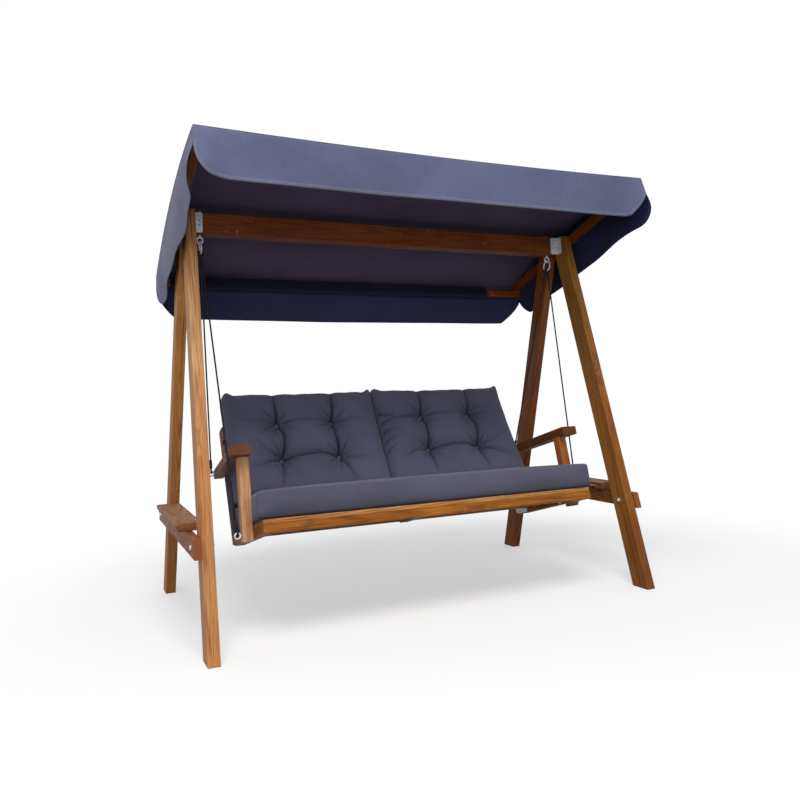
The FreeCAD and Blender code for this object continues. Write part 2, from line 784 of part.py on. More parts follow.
def make_seat_rails():
    rail_mid = number("seat_rail_high / 2")
    front = board("front_rail", "2 * " + SEAT_HALF, "seat_rail_wide", "seat_rail_high", AXIS_X)
    keep(front, in_seat(0, number("seat_rail_wide / 2"), rail_mid))
    inside = f"2 * ({SEAT_HALF} - seat_rail_wide)"
    rear = board("rear_rail", inside, "seat_rail_wide", "rear_rail_high", AXIS_X)
    rear_mid = number("seat_rail_high - rear_rail_high / 2")
    keep(rear, in_seat(0, number(f"{REAR_RAIL_AT} + seat_rail_wide / 2"), rear_mid))
    joist_long = f"{REAR_RAIL_AT} - seat_rail_wide"
    joist = board("seat_middle_joist", "seat_rail_wide", joist_long, "joist_high", AXIS_Y)
    joist_mid = number("seat_rail_high - joist_high / 2")
    keep(joist, in_seat(0, number(f"({REAR_RAIL_AT} + seat_rail_wide) / 2"), joist_mid))
    outline = [("seat_rail_wide", "0"), (stile_face_at("0"), "0"),
               (stile_face_at("seat_rail_high"), "seat_rail_high"), ("seat_rail_wide", "seat_rail_high")]
    for side, sign in SIDES:
        rail = cut_board(f"{side}_side_rail", "YZ_Plane", outline, "seat_rail_wide", V(AXIS_Y))
        drill(rail, "YZ_Plane", [("post_at + post_thick / 2", "front_eye_rise")], "eye_shank + bolt_fit")
        keep(rail, in_seat(sign * number(f"{SEAT_HALF} - seat_rail_wide / 2"), 0, 0))


def make_slats():
    slat_long = f"2 * ({SEAT_HALF} - slat_inset)"
    seat_slat = board("seat_slat_pattern", slat_long, "slat_wide", "slat_thick", AXIS_X)
    count = int(number("seat_slat_count"))
    pitch = number("(seat_depth - slat_wide) / (seat_slat_count - 1)")
    level = number("seat_rail_high + slat_thick / 2")
    rows = [number("slat_wide / 2") + i * pitch for i in range(count)]
    group("seat_slats", seat_slat, [in_seat(0, b, level) for b in rows])
    back_slat = board("back_slat_pattern", slat_long, "slat_thick", "slat_wide", AXIS_X)
    back_count = int(number("back_slat_count"))
    back_pitch = number("(back_high - back_first_slat - slat_wide) / (back_slat_count - 1)")
    heights = [number("back_first_slat + slat_wide / 2") + i * back_pitch for i in range(back_count)]
    group("back_slats", back_slat, [in_back(0, number("slat_thick / 2"), up) for up in heights])
    rail_x = number(f"{SEAT_HALF} - seat_rail_wide / 2")
    stile_x = number(f"{SEAT_HALF} - stile_thick / 2")
    sunk = number("screw_head_high")
    screws = []
    for x in (-rail_x, rail_x):
        for b in rows:
            screws.append(in_seat(x, b, number("seat_rail_high + slat_thick") - sunk))
    forward = Place(V(0, 0, 0), Turn(AXIS_Z, V(0, -1, 0)))
    for x in (-stile_x, 0, stile_x):
        for up in heights:
            screws.append(in_back(x, sunk, up).multiply(forward))
    return screws


def make_posts_and_arms():
    post_x = number(f"{SEAT_HALF} + post_thick / 2")
    high = "(arm_under + post_below)"
    for side, sign in SIDES:
        post = board(f"{side}_front_post", "post_thick", "post_thick", high, AXIS_Z)
        eye_level = f"front_eye_rise + post_below - {high} / 2"
        drill(post, "YZ_Plane", [("0", eye_level)], "eye_shank + bolt_fit")
        post_level = number(f"{high} / 2 - post_below")
        keep(post, in_seat(sign * post_x, number("post_at + post_thick / 2"), post_level))
        outline = [(SEAT_HALF, "arm_front"), (f"{SEAT_HALF} + arm_front_wide", "arm_front"),
                   (f"{SEAT_HALF} + arm_rear_wide", ARM_REAR), (SEAT_HALF, ARM_REAR)]
        if sign < 0:
            outline = [(f"-({x})", y) for x, y in reversed(outline)]
        arm = cut_board(f"{side}_armrest", "XY_Plane", outline, "arm_thick", V(AXIS_Y))
        drill(arm, "YZ_Plane", [(REAR_EYE_AT, "0")], "eye_shank + bolt_fit")
        keep(arm, in_seat(0, 0, number("arm_under + arm_thick / 2")))
    arm_screw = make_screw("arm_screw_pattern", "arm_thick + screw_long")
    head = number("arm_under + arm_thick - screw_head_high")
    middle = number("post_at + post_thick / 2")
    group("armrest_screws", arm_screw, [in_seat(sign * post_x, middle, head) for side, sign in SIDES])


def make_stiles():
    outline = [(STILE_FRONT, "stile_foot"), (f"{STILE_FRONT} + stile_deep", "stile_foot"),
               (f"{STILE_FRONT} + stile_deep", "back_high"), (STILE_FRONT, "back_high")]
    eye = seat_frame.multVec(spot("0", REAR_EYE_AT, "arm_under + arm_thick / 2"))
    eye_in_back = back_frame.inverse().multVec(eye)
    for side, sign in SIDES:
        stile = cut_board(f"{side}_back_stile", "YZ_Plane", outline, "stile_thick", V(AXIS_Z))
        drill(stile, "YZ_Plane", [(str(eye_in_back.y), str(eye_in_back.z))], "eye_shank + bolt_fit")
        keep(stile, in_back(sign * number(f"{SEAT_HALF} - stile_thick / 2"), 0, 0))
    short = [(STILE_FRONT, "back_first_slat"), (f"{STILE_FRONT} + stile_thick", "back_first_slat"),
             (f"{STILE_FRONT} + stile_thick", "back_high"), (STILE_FRONT, "back_high")]
    keep(cut_board("middle_back_stile", "YZ_Plane", short, "stile_thick", V(AXIS_Z)), back_frame)


def make_foot_plates():
    """Flat angled plates that tie each side rail to its back stile on the inner face."""
    wide = "foot_plate_wide"
    low = "(seat_rail_high - foot_plate_wide) / 2"
    joint = stile_face_at("seat_rail_high / 2")
    outline = [(f"{joint} - foot_plate_long", low), (f"{joint} + stile_deep / 2 + {wide} / 2", low),
               (f"{joint} + stile_deep / 2 + {wide} / 2 + foot_plate_long * tan(back_recline)",
                f"{low} + foot_plate_long"),
               (f"{joint} + stile_deep / 2 - {wide} / 2 + foot_plate_long * tan(back_recline)",
                f"{low} + foot_plate_long"),
               (f"{joint} + stile_deep / 2 - {wide} / 2 + {wide} * tan(back_recline)", f"{low} + {wide}"),
               (f"{joint} - foot_plate_long", f"{low} + {wide}")]
    plate = cut_board("foot_plate_pattern", "YZ_Plane", outline, "foot_plate_thick")
    x = number(f"{SEAT_HALF} - seat_rail_wide - foot_plate_thick / 2")
    group("back_foot_plates", plate, [in_seat(sign * x, 0, 0) for side, sign in SIDES])
    face = number(f"{SEAT_HALF} - seat_rail_wide - foot_plate_thick")
    mid = number("seat_rail_high / 2")
    holes = [(number(f"{joint} - foot_plate_long * 0.8"), mid),
             (number(f"{joint} - foot_plate_long * 0.35"), mid),
             (number(f"{joint} + stile_deep / 2 + foot_plate_wide * 0.1"), mid),
             (number(f"{joint} + stile_deep / 2 + foot_plate_long * 0.7 * tan(back_recline)"),
              number(f"{low} + foot_plate_long * 0.8"))]
    screws = []
    for side, sign in SIDES:
        for b, u in holes:
            screws.append(seat_frame.multiply(facing(V(sign * face, b, u), V(-sign, 0, 0))))
    return screws


# Ropes and the eye bolts they hang the seat on
def eye_places():
    """Centre of every lower eye ring, by side and end, with the length of its shank."""
    places = {}
    front_x = f"{SEAT_HALF} + post_thick"
    rear_share = f"({REAR_EYE_AT} - arm_front) / ({ARM_REAR} - arm_front)"
    rear_x = f"{SEAT_HALF} + arm_front_wide + (arm_rear_wide - arm_front_wide) * {rear_share}"
    stand_off = number("eye_ring + eye_wire")
    front = spot(front_x, "post_at + post_thick / 2", "front_eye_rise")
    rear = spot(rear_x, REAR_EYE_AT, "arm_under + arm_thick / 2")
    for side, sign in SIDES:
        for end, place in (("front", front), ("rear", rear)):
            eye = V(sign * (place.x + stand_off), place.y, place.z)
            places[side, end] = seat_frame.multVec(eye)
    return places, front_x, rear_x


def hang_ring_pose(places, side, sign):
    """Centre and normal of a hang ring that lies in the plane of its two ropes, its top in the hook."""
    top = spot(HOOK_X, "0", HANG_TOP_Z)
    top.x = sign * top.x
    up = V(AXIS_Z)
    for attempt in range(4):
        centre = top - up * number("hang_ring")
        normal = (places[side, "front"] - centre).cross(places[side, "rear"] - centre).normalize()
        up = normal.cross(AXIS_Y).normalize()
        if up.z < 0:
            up = -up
    return centre, normal


def rope_ends(top_ring, eye):
    """The straight line between a hang ring and a lower eye: loop centres at its two ends."""
    line = (eye - top_ring).normalize()
    loop_hole = number("rope_loop - rope_dia / 2")
    upper = top_ring + line * (number("hang_ring - hang_wire") + loop_hole - number("loop_gap"))
    lower = eye - line * (number("eye_ring - eye_wire") + loop_hole - number("loop_gap"))
    return upper, lower, line


def make_rope(label, top_ring, ring_normal, eye):
    """A taut rope: the upper loop lies across the hang ring, the lower one across its eye."""
    upper, lower, line = rope_ends(top_ring, eye)
    loop, splice = number("rope_loop"), number("splice_long")
    start = number("rope_loop + splice_gap")
    aside = (AXIS_X - line * AXIS_X.dot(line)).normalize()
    flat = line.cross(ring_normal)
    radius = "rope_dia / 2"
    run = (lower - upper).Length - 2 * loop
    straight = doc.addObject("Part::Cylinder", label + "_run")
    straight.Height = run
    bind(straight, Radius=radius)
    straight.Placement = facing(upper + line * loop, line)
    pieces = [straight,
              ring(label + "_top_loop", "rope_loop", radius, facing(upper, flat)),
              ring(label + "_low_loop", "rope_loop", radius, facing(lower, aside)),
              rod(label + "_top_splice", "splice_dia / 2", "splice_long",
                  facing(upper + line * start, line)),
              rod(label + "_low_splice", "splice_dia / 2", "splice_long",
                  facing(lower - line * (start + splice), line))]
    for piece in pieces:
        piece.Placement = stand_frame.multiply(piece.Placement)
    keep(fused(label, pieces))


def make_ropes_and_eyes():
    places, front_x, rear_x = eye_places()
    inner = f"{SEAT_HALF} - seat_rail_wide"
    stile_inner = f"{SEAT_HALF} - stile_thick"
    tails = {"front": f"({front_x} - ({inner}) + 1.5 * eye_wire + eye_tail)",
             "rear": f"({rear_x} - ({stile_inner}) + 1.5 * eye_wire + eye_tail)"}
    faces = {"front": number(inner), "rear": number(stile_inner)}
    nuts = []
    washer = make_washer("flange_pattern", "washer_dia", "eye_shank + bolt_fit", "washer_thick")
    flange_nut = fused("flange_nut_pattern", [nut, washer])
    for end in ("front", "rear"):
        eye = make_eye(f"{end}_eye_pattern", "eye_ring", "eye_wire", "eye_shank", tails[end])
        eye_spots = []
        for side, sign in SIDES:
            centre = places[side, end]
            top_ring, ring_normal = hang_ring_pose(places, side, sign)
            upper, lower, line = rope_ends(top_ring, centre)
            out = V(sign, 0, 0)
            across = line.cross(out).normalize()
            up = across.cross(out)
            turn = Turn(up, across, out, "ZYX")
            eye_spots.append(Place(centre, turn))
            inside = V(sign * faces[end], centre.y, centre.z)
            nuts.append(facing(inside, -out))
            make_rope(f"{side}_{end}_rope", top_ring, ring_normal, centre)
        group(f"{end}_eye_bolts", eye, eye_spots)
    group("eye_bolt_nuts", flange_nut, nuts)
    ring_shape = ring("hang_ring_pattern", "hang_ring", "hang_wire")
    doc.recompute()
    poses = [hang_ring_pose(places, side, sign) for side, sign in SIDES]
    group("hang_rings", ring_shape, [facing(centre, normal) for centre, normal in poses])


# Cushions
def closed_section(points, mids):
    """Closed wire through points; a middle point makes that side an arc."""
    edges = []
    for i, start in enumerate(points):
        end = points[(i + 1) % len(points)]
        if mids[i] is None:
            edges.append(Part.LineSegment(start, end).toShape())
        else:
            edges.append(Part.Arc(start, mids[i], end).toShape())
    return Part.Wire(edges)


def make_seat_cushion():
    half, thick = number(CUSHION_HALF), number("cushion_thick")
    front, rear = number("cushion_front"), number("seat_depth")
    low = number("seat_rail_high + slat_thick + soft_gap")
    crown, bulge = number("cushion_crown"), number("cushion_bulge")
    end_drop = number("cushion_end_drop")
    sections = []
    rounding = ((0, 0), (0.06, 0.42), (0.25, 0.75), (0.55, 0.94), (1, 1))
    ends = [(-half + step * end_drop, full) for step, full in rounding]
    for x, full in ends + [(-x, full) for x, full in reversed(ends)]:
        draw = end_drop * (1 - full)
        b0, b1 = front + bulge + draw, rear - bulge - draw
        u0, u1 = low + draw * 0.8, low + thick - draw * 0.8
        corners = [V(x, b0, u0), V(x, b1, u0), V(x, b1, u1), V(x, b0, u1)]
        puff = bulge * (0.5 + 0.5 * full)
        mids = [None, V(x, b1 + puff, (u0 + u1) / 2),
                V(x, (b0 + b1) / 2, u1 + crown * (0.4 + 0.6 * full)), V(x, b0 - puff, (u0 + u1) / 2)]
        sections.append(closed_section(corners, mids))
    solid_part("seat_cushion", Part.makeLoft(sections, True, True), seat_frame)


def back_cushion_section(x, full, tufted):
    """One cross-section of a back cushion: full near its middle, pulled in at tufts and ends."""
    gap, thick = number("soft_gap"), number("back_cushion_thick")
    seat_level = number("cushion_thick + cushion_crown + 2 * soft_gap")
    lean = math.radians(number("back_recline"))
    draw = number("back_cushion_draw") * (1 - full)
    front = thick - draw
    pit = number("tuft_depth") * tufted
    valley = number("tuft_valley") * tufted
    bulge = number("tuft_bulge") * (0.45 + 0.55 * full)
    shrink = 0.3 * draw

    def bottom(depth):
        return (seat_level - depth * math.sin(lean)) / math.cos(lean) + shrink
    top = number(BACK_CUSHION_TOP) - shrink
    rear = -gap - draw * 0.35
    shoulder = front - number("shoulder_round")
    pinched = front - pit - number("tuft_pinch") * full
    rows = [top, number(TUFT_HIGH), number(TUFT_LOW), bottom(shoulder)]
    depths = [shoulder - valley, pinched, pinched, shoulder - valley]
    points = [V(x, rear, bottom(-rear) + gap), V(x, rear, top - number("top_round"))]
    points += [V(x, -depth, row) for depth, row in zip(depths, rows)]
    mids = [None, V(x, -(shoulder - rear) / 2, top + number("top_swell") * (2 * full - 1))]
    for i in range(3):
        level = (rows[i] + rows[i + 1]) / 2
        base = (depths[i] + depths[i + 1]) / 2
        fullest = front - valley + bulge * (1 if i else 0.8)
        mids.append(V(x, -max(base + number("least_swell"), fullest), level))
    mids.append(None)
    return closed_section(points, mids)


def make_back_cushions():
    half, split = number(BACK_CUSHION_WIDE) / 2, number("back_cushion_split")
    tuft = number("tuft_from_middle")
    outer = (half + tuft) / 2
    near_end = half - number("cushion_end_round")
    stations = [(-half, 0, 0), (-near_end, 0.62, 0), (-outer, 1, 0), (-tuft, 1, 1), (0, 1, 0),
                (tuft, 1, 1), (outer, 1, 0), (near_end, 0.62, 0), (half, 0, 0)]
    button = turned("button_pattern", [("0", "-button_high / 2"), ("button_dia / 2", "-button_high / 2"),
                                       ("button_dia / 2", "0"), ("button_dia / 3", "button_high / 2"),
                                       ("0", "button_high / 2")])
    buttons = []
    depth = number("back_cushion_thick - tuft_depth - tuft_pinch + button_high / 2")
    for side, sign in SIDES:
        middle = sign * (half + split / 2)
        sections = [back_cushion_section(middle + x, full, tufted) for x, full, tufted in stations]
        solid_part(f"{side}_back_cushion", Part.makeLoft(sections, True, False), back_frame)
        for x in (-tuft, tuft):
            for row in (TUFT_LOW, TUFT_HIGH):
                place = facing(V(middle + x, -depth, number(row)), V(0, -1, 0))
                buttons.append(back_frame.multiply(place))
    group("tuft_buttons", button, buttons)


def build():
    make_legs()
    make_beam()
    make_cross_rails()
    make_trays()
    make_brackets()
    make_stand_bolts()
    make_hooks()
    make_canopy_frame()
    make_pivots()
    make_roof()
    make_end_valance("front_valance", number("front_valance_deep"), -number(ROOF_FRONT), -1, 5)
    make_end_valance("rear_valance", number("rear_valance_deep"), number(ROOF_REAR), 1, 5)
    make_side_valances(3)
    make_seat_rails()
    slat_screws = make_slats()
    make_posts_and_arms()
    make_stiles()
    plate_screws = make_foot_plates()
    group("seat_frame_screws", screw, slat_screws + plate_screws)
    make_ropes_and_eyes()
    make_seat_cushion()
    make_back_cushions()
    doc.recompute()


def export():
    """Check every object, then write one STEP file per sub-part."""
    for item in doc.Objects:
        bad = [word for word in item.State if word in ("Invalid", "Error")]
        if bad:
            raise RuntimeError(f"{item.Name} did not build: {bad}")
    os.makedirs("parts", exist_ok=True)
    for item in exported:
        if item.Shape.isNull() or not item.Shape.isValid():
            raise RuntimeError(f"{item.Label} has no valid shape")
        item.Shape.exportStep(f"parts/{item.Label}.step")


build()
export()
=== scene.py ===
import json
import math

import bmesh
import bpy
import numpy as np
from mathutils import Matrix, Vector


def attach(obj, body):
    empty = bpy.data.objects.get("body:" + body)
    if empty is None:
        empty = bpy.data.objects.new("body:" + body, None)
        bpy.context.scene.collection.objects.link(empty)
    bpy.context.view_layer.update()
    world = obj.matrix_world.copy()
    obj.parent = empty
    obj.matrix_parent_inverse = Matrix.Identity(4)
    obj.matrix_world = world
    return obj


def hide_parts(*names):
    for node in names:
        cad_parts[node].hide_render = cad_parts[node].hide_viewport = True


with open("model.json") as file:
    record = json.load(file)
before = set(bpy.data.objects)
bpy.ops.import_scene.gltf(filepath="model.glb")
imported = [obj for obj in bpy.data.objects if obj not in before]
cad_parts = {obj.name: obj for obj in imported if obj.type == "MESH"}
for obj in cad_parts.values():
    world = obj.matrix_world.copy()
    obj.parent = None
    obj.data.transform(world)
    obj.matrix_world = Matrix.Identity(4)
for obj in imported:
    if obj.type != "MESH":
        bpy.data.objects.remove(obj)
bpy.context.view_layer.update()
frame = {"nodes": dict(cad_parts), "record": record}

scene = bpy.context.scene
scene.view_settings.view_transform = "Standard"

# Frames of the canopy, the seat and the seat back, in metres and radians
CANOPY_TILT = math.radians(18.5)
CANOPY_PIVOT = Vector((0, 0.028, 1.687))
SEAT_TILT = math.radians(14.5)
SEAT_CORNER = Vector((0, -0.448, 0.411))
BACK_LEAN = math.radians(32)
BACK_AT, SLAT_TOP = 0.535, 0.052


def tilted(origin, angle, x, along, up):
    """A point in a frame that is tipped back about the x axis."""
    y = along * math.cos(angle) + up * math.sin(angle)
    z = up * math.cos(angle) - along * math.sin(angle)
    return origin + Vector((x, y, z))


def untilted(origin, angle, point):
    """Where a point lies in a frame that is tipped back about the x axis."""
    y, z = point.y - origin.y, point.z - origin.z
    along = y * math.cos(angle) - z * math.sin(angle)
    return point.x, along, y * math.sin(angle) + z * math.cos(angle)


def in_canopy(x, along, up):
    return tilted(CANOPY_PIVOT, CANOPY_TILT, x, along, up)


def in_seat(x, along, up):
    return tilted(SEAT_CORNER, SEAT_TILT, x, along, up)


BACK_CORNER = in_seat(0, BACK_AT, SLAT_TOP)


def in_back(x, out, up):
    return tilted(BACK_CORNER, BACK_LEAN, x, out, up)


def seat_local(point):
    return untilted(SEAT_CORNER, SEAT_TILT, point)


def back_local(point):
    return untilted(BACK_CORNER, BACK_LEAN, point)


def step(into_frame, along, up):
    """The direction of a step in one of these frames."""
    return into_frame(0, along, up) - into_frame(0, 0, 0)


# Small gap that keeps cloth off what it touches
CLEAR = 0.0006

# Canopy cloth sizes
ROOF_HALF = 1.041
ROOF_FRONT, ROOF_REAR = -0.656, 0.530
ROOF_LIFT, ROOF_CROWN, ROOF_SAG, ROOF_RIPPLE = 0.021, 0.070, 0.014, 0.0012
CLOTH_THICK = 0.0016
FRONT_DEEP, REAR_DEEP, SIDE_DEEP = 0.192, 0.215, 0.208
HEM_SAG = 0.006
# Cut-away lower corners of the flaps, first and second end: width, height, roundness (1 is a straight cut)
FRONT_CORNERS = ((0.062, 0.105, 2.0), (0.088, 0.108, 1.15))
REAR_CORNERS = ((0.090, 0.118, 1.5), (0.105, 0.120, 1.15))
SIDE_CORNERS = ((0.105, 0.118, 2.0), (0.110, 0.118, 1.4))
BINDING_WIDE, BINDING_THICK, BINDING_LIFT, BINDING_WRAP = 0.013, 0.0008, 0.0019, 0.0016
STITCH_INSET, STITCH_LIFT = 0.0025, 0.0026
PIPING_RADIUS, CORNER_PIPING_RADIUS, PIPING_OUT = 0.0032, 0.0024, 0.001
SLIT_TOP = 0.087
CORNER_PULL, CORNER_TUCK = 0.12, 0.10
FLAP_LIFT, FLARE, END_BELLY, SIDE_LEAN, TIP_BOW = 0.0022, 0.003, 0.009, 0.012, 0.024
SLEEVE_LEFT, SLEEVE_RIGHT, SLEEVE_MIDDLE = -0.985, 0.800, (0.4995, -0.040)

# Cushion, button and tie sizes
SEAT_CUSHION_HALF = 0.764
SEAT_CUSHION_FRONT, SEAT_CUSHION_REAR = -0.010, 0.530
SEAT_CUSHION_THICK = 0.110
BACK_CUSHION_WIDE, BACK_CUSHION_MIDDLE = 0.760, 0.3835
BACK_CUSHION_TOP, BACK_CUSHION_THICK = 0.655, 0.112
BACK_CUSHION_TALL, BACK_CUSHION_ROUND, BACK_BELLY = 0.56, 0.021, 0.016
BACK_FOOT, BACK_FOOT_SLOPE, BACK_TOP_SLOPE = 0.1262, 0.3153, 0.14
SEAT_CUSHION_ROUND, SEAT_CROWN, SEAT_TUCK, SEAM_SHADE = 0.014, 0.006, 0.010, 0.016
POST_FROM, POST_TO = 0.140, 0.228
REAR_ROOM, POST_ROOM, SIDE_ROOM = 0.002, 0.003, 0.030
ARMREST_INNER = 0.7672
BUTTON_RADIUS, BUTTON_HIGH, BUTTON_LIFT = 0.0105, 0.0055, 0.0015
TIE_TOP, TIE_FOOT, TIE_WIDE, TIE_NARROW = 0.314, 0.030, 0.110, 0.065
TIE_BESIDE, TIE_FRONT, TIE_SLANT = 0.7702, 0.545, 0.075

# Rope sizes and the routes of the right-hand ropes, from the hang ring's loop to the lower eye's loop
ROPE_DIA = 0.008
ROPE_LOOP = 0.010
ROPE_LAY = 0.026
STRAND_SHARE = 0.53
SPLICE_DIA, SPLICE_LONG, SPLICE_GAP, SPLICE_WRAPS = 0.013, 0.045, 0.001, 20
RING_NORMAL = Vector((0.9964, 0.0261, -0.0809))
ROPE_ENDS = {
    "front": (Vector((0.91573, 0.02121, 1.55828)), Vector((0.82846, -0.26246, 0.39219))),
    "rear": (Vector((0.91537, 0.03529, 1.55843)), Vector((0.82983, 0.29023, 0.58732))),
}
SIDES = (("left", -1), ("right", 1))


# Camera, at the photograph's view
def make_camera():
    yaw, pitch, roll = 0.4414, 0.0861, -0.0294
    forward = Vector((math.sin(yaw) * math.cos(pitch), math.cos(yaw) * math.cos(pitch), math.sin(pitch)))
    level = Vector((math.cos(yaw), -math.sin(yaw), 0))
    rise = level.cross(forward)
    right = level * math.cos(roll) + rise * math.sin(roll)
    up = rise * math.cos(roll) - level * math.sin(roll)
    turn = Matrix((right, up, -forward)).transposed()
    data = bpy.data.cameras.new("photo_view")
    data.lens, data.sensor_width = 33.84, 36
    data.shift_x, data.shift_y = -0.0172, -0.0925
    place = (-1.4716, -3.3159, 0.9312)
    scene.camera = linked("photo_view", data)
    scene.camera.matrix_world = Matrix.Translation(place) @ turn.to_4x4()


def linked(name, data):
    """A new object in the scene that holds this data."""
    holder = bpy.data.objects.new(name, data)
    scene.collection.objects.link(holder)
    return holder


# Node helpers
def put(tree, kind, settings=None, **sockets):
    """Add a shader or geometry node; a socket is named in words, or in0, in1 ... by its place."""
    node = tree.nodes.new(kind if kind.startswith("Geometry") else "ShaderNode" + kind)
    for name, value in (settings or {}).items():
        setattr(node, name, value)
    for name, value in sockets.items():
        by_place = name.startswith("in") and name[2:].isdigit()
        socket = node.inputs[int(name[2:]) if by_place else name.replace("_", " ")]
        if isinstance(value, bpy.types.NodeSocket):
            tree.links.new(value, socket)
        else:
            socket.default_value = value
    return node


def calculate(tree, operation, *values):
    sockets = {f"in{i}": value for i, value in enumerate(values)}
    return put(tree, "Math", {"operation": operation}, **sockets).outputs[0]


def times(tree, a, b):
    return calculate(tree, "MULTIPLY", a, b)


def plus(tree, a, b):
    return calculate(tree, "ADD", a, b)


def zero_to_one(tree, wave):
    """A wave between -1 and 1, moved to between 0 and 1."""
    return calculate(tree, "MULTIPLY_ADD", wave, 0.5, 0.5)


def ramp(tree, value, low, high, start=0.0, end=1.0):
    """A smooth step from start to end while the value goes from low to high."""
    return put(tree, "MapRange", {"interpolation_type": "SMOOTHSTEP"}, Value=value, From_Min=low,
               From_Max=high, To_Min=start, To_Max=end).outputs[0]


def tint(tree, base, colour, share, blend="MIX"):
    node = put(tree, "Mix", {"data_type": "RGBA", "blend_type": blend}, in0=share, in6=base, in7=colour)
    return node.outputs[2]


def stretched(tree, vector, scale):
    return put(tree, "VectorMath", {"operation": "MULTIPLY"}, in0=vector, in1=scale).outputs[0]


def scaled(tree, vector, factor):
    return put(tree, "VectorMath", {"operation": "SCALE"}, in0=vector, Scale=factor).outputs[0]


def noise(tree, vector, scale, detail=2.0, rough=0.5, distortion=0.0):
    return put(tree, "TexNoise", Vector=vector, Scale=scale, Detail=detail, Roughness=rough,
               Distortion=distortion).outputs[0]


def shade(code):
    """Linear colour from a screen colour written as six hex digits."""
    parts = [int(code[i:i + 2], 16) / 255 for i in (0, 2, 4)]
    return (*[p / 12.92 if p <= 0.04045 else ((p + 0.055) / 1.055) ** 2.4 for p in parts], 1.0)


def new_group(name, inputs, outputs):
    """A shader node group with named sockets: its tree, its inputs and a way to set its outputs."""
    tree = bpy.data.node_groups.new(name, "ShaderNodeTree")
    for label, kind in inputs:
        tree.interface.new_socket(label, in_out="INPUT", socket_type="NodeSocket" + kind)
    for label, kind in outputs:
        tree.interface.new_socket(label, in_out="OUTPUT", socket_type="NodeSocket" + kind)
    entry = tree.nodes.new("NodeGroupInput")
    leave = tree.nodes.new("NodeGroupOutput")

    def send(label, socket):
        tree.links.new(socket, leave.inputs[label])
    return tree, entry.outputs, send


def place_group(tree, group, **sockets):
    return put(tree, "Group", {"node_tree": group}, **sockets).outputs


def new_finish(name, **constants):
    """A material with one Principled shader; constants go straight on its own sockets."""
    finish = bpy.data.materials.new(name)
    finish.use_nodes = True
    tree = finish.node_tree
    shader = tree.nodes["Principled BSDF"]
    for label, value in constants.items():
        shader.inputs[label.replace("_", " ")].default_value = value
    return finish, tree, shader


def object_place(tree):
    return put(tree, "TexCoord").outputs["Object"]


def dress(tree, shader, colour, roughness):
    tree.links.new(colour, shader.inputs["Base Color"])
    tree.links.new(roughness, shader.inputs["Roughness"])


def bumped(tree, shader, height, strength, distance):
    node = put(tree, "Bump", Strength=strength, Distance=distance, Height=height)
    tree.links.new(node.outputs[0], shader.inputs["Normal"])


# Shared effects
def make_timber_grain():
    """Growth bands, fibres and knots on coordinates whose x runs along the board."""
    outputs = [(label, "Float") for label in ("Bands", "Fibres", "Knots", "Tone")]
    tree, entry, send = new_group("timber_grain", [("Along Board", "Vector")], outputs)
    board = entry["Along Board"]
    knot_field = put(tree, "TexVoronoi", Vector=stretched(tree, board, (3.4, 6.0, 6.0)), Scale=1.0)
    nearness = knot_field.outputs["Distance"]
    swirl = ramp(tree, nearness, 0.0, 0.34, 0.07, 0.0)
    field = plus(tree, noise(tree, stretched(tree, board, (0.28, 9.0, 9.0)), 1.0, 1.0, 0.4, 0.1), swirl)
    bands = zero_to_one(tree, calculate(tree, "SINE", times(tree, field, 260.0)))
    send("Bands", calculate(tree, "POWER", bands, 1.8))
    send("Fibres", noise(tree, stretched(tree, board, (9.0, 330.0, 330.0)), 1.0, 3.0, 0.6))
    send("Knots", ramp(tree, nearness, 0.03, 0.095, 1.0, 0.0))
    send("Tone", noise(tree, stretched(tree, board, (0.7, 2.6, 2.6)), 1.0, 2.0))
    return tree


def make_outdoor_wear():
    """Soft weather stains and small pale scuffs."""
    tree, entry, send = new_group("outdoor_wear", [("Place", "Vector"), ("Size", "Float")],
                                  [("Stain", "Float"), ("Scuff", "Float")])
    place = scaled(tree, entry["Place"], entry["Size"])
    send("Stain", ramp(tree, noise(tree, place, 3.0, 4.0, 0.6), 0.42, 0.72))
    speck = noise(tree, place, 34.0, 3.0, 0.65, 0.6)
    patch = noise(tree, place, 5.0, 2.0, 0.5)
    send("Scuff", times(tree, ramp(tree, speck, 0.60, 0.70), ramp(tree, patch, 0.52, 0.66)))
    return tree


def make_plain_weave():
    """Threads, slubs and slow fading on a cloth's own flat coordinates, in metres."""
    tree, entry, send = new_group("plain_weave", [("Flat", "Vector"), ("Threads Per Metre", "Float")],
                                  [("Threads", "Float"), ("Slubs", "Float"), ("Fade", "Float")])
    flat = entry["Flat"]
    threads = scaled(tree, flat, times(tree, entry["Threads Per Metre"], math.pi))
    parts = put(tree, "SeparateXYZ", in0=threads).outputs
    waves = [calculate(tree, "SINE", parts[i]) for i in (0, 1)]
    send("Threads", zero_to_one(tree, times(tree, *waves)))
    warp = noise(tree, stretched(tree, flat, (420.0, 14.0, 1.0)), 1.0, 2.0)
    weft = noise(tree, stretched(tree, flat, (14.0, 420.0, 1.0)), 1.0, 2.0)
    send("Slubs", times(tree, plus(tree, warp, weft), 0.5))
    send("Fade", noise(tree, flat, 3.2, 3.0, 0.55))
    return tree


timber_grain = make_timber_grain()
outdoor_wear = make_outdoor_wear()
plain_weave = make_plain_weave()


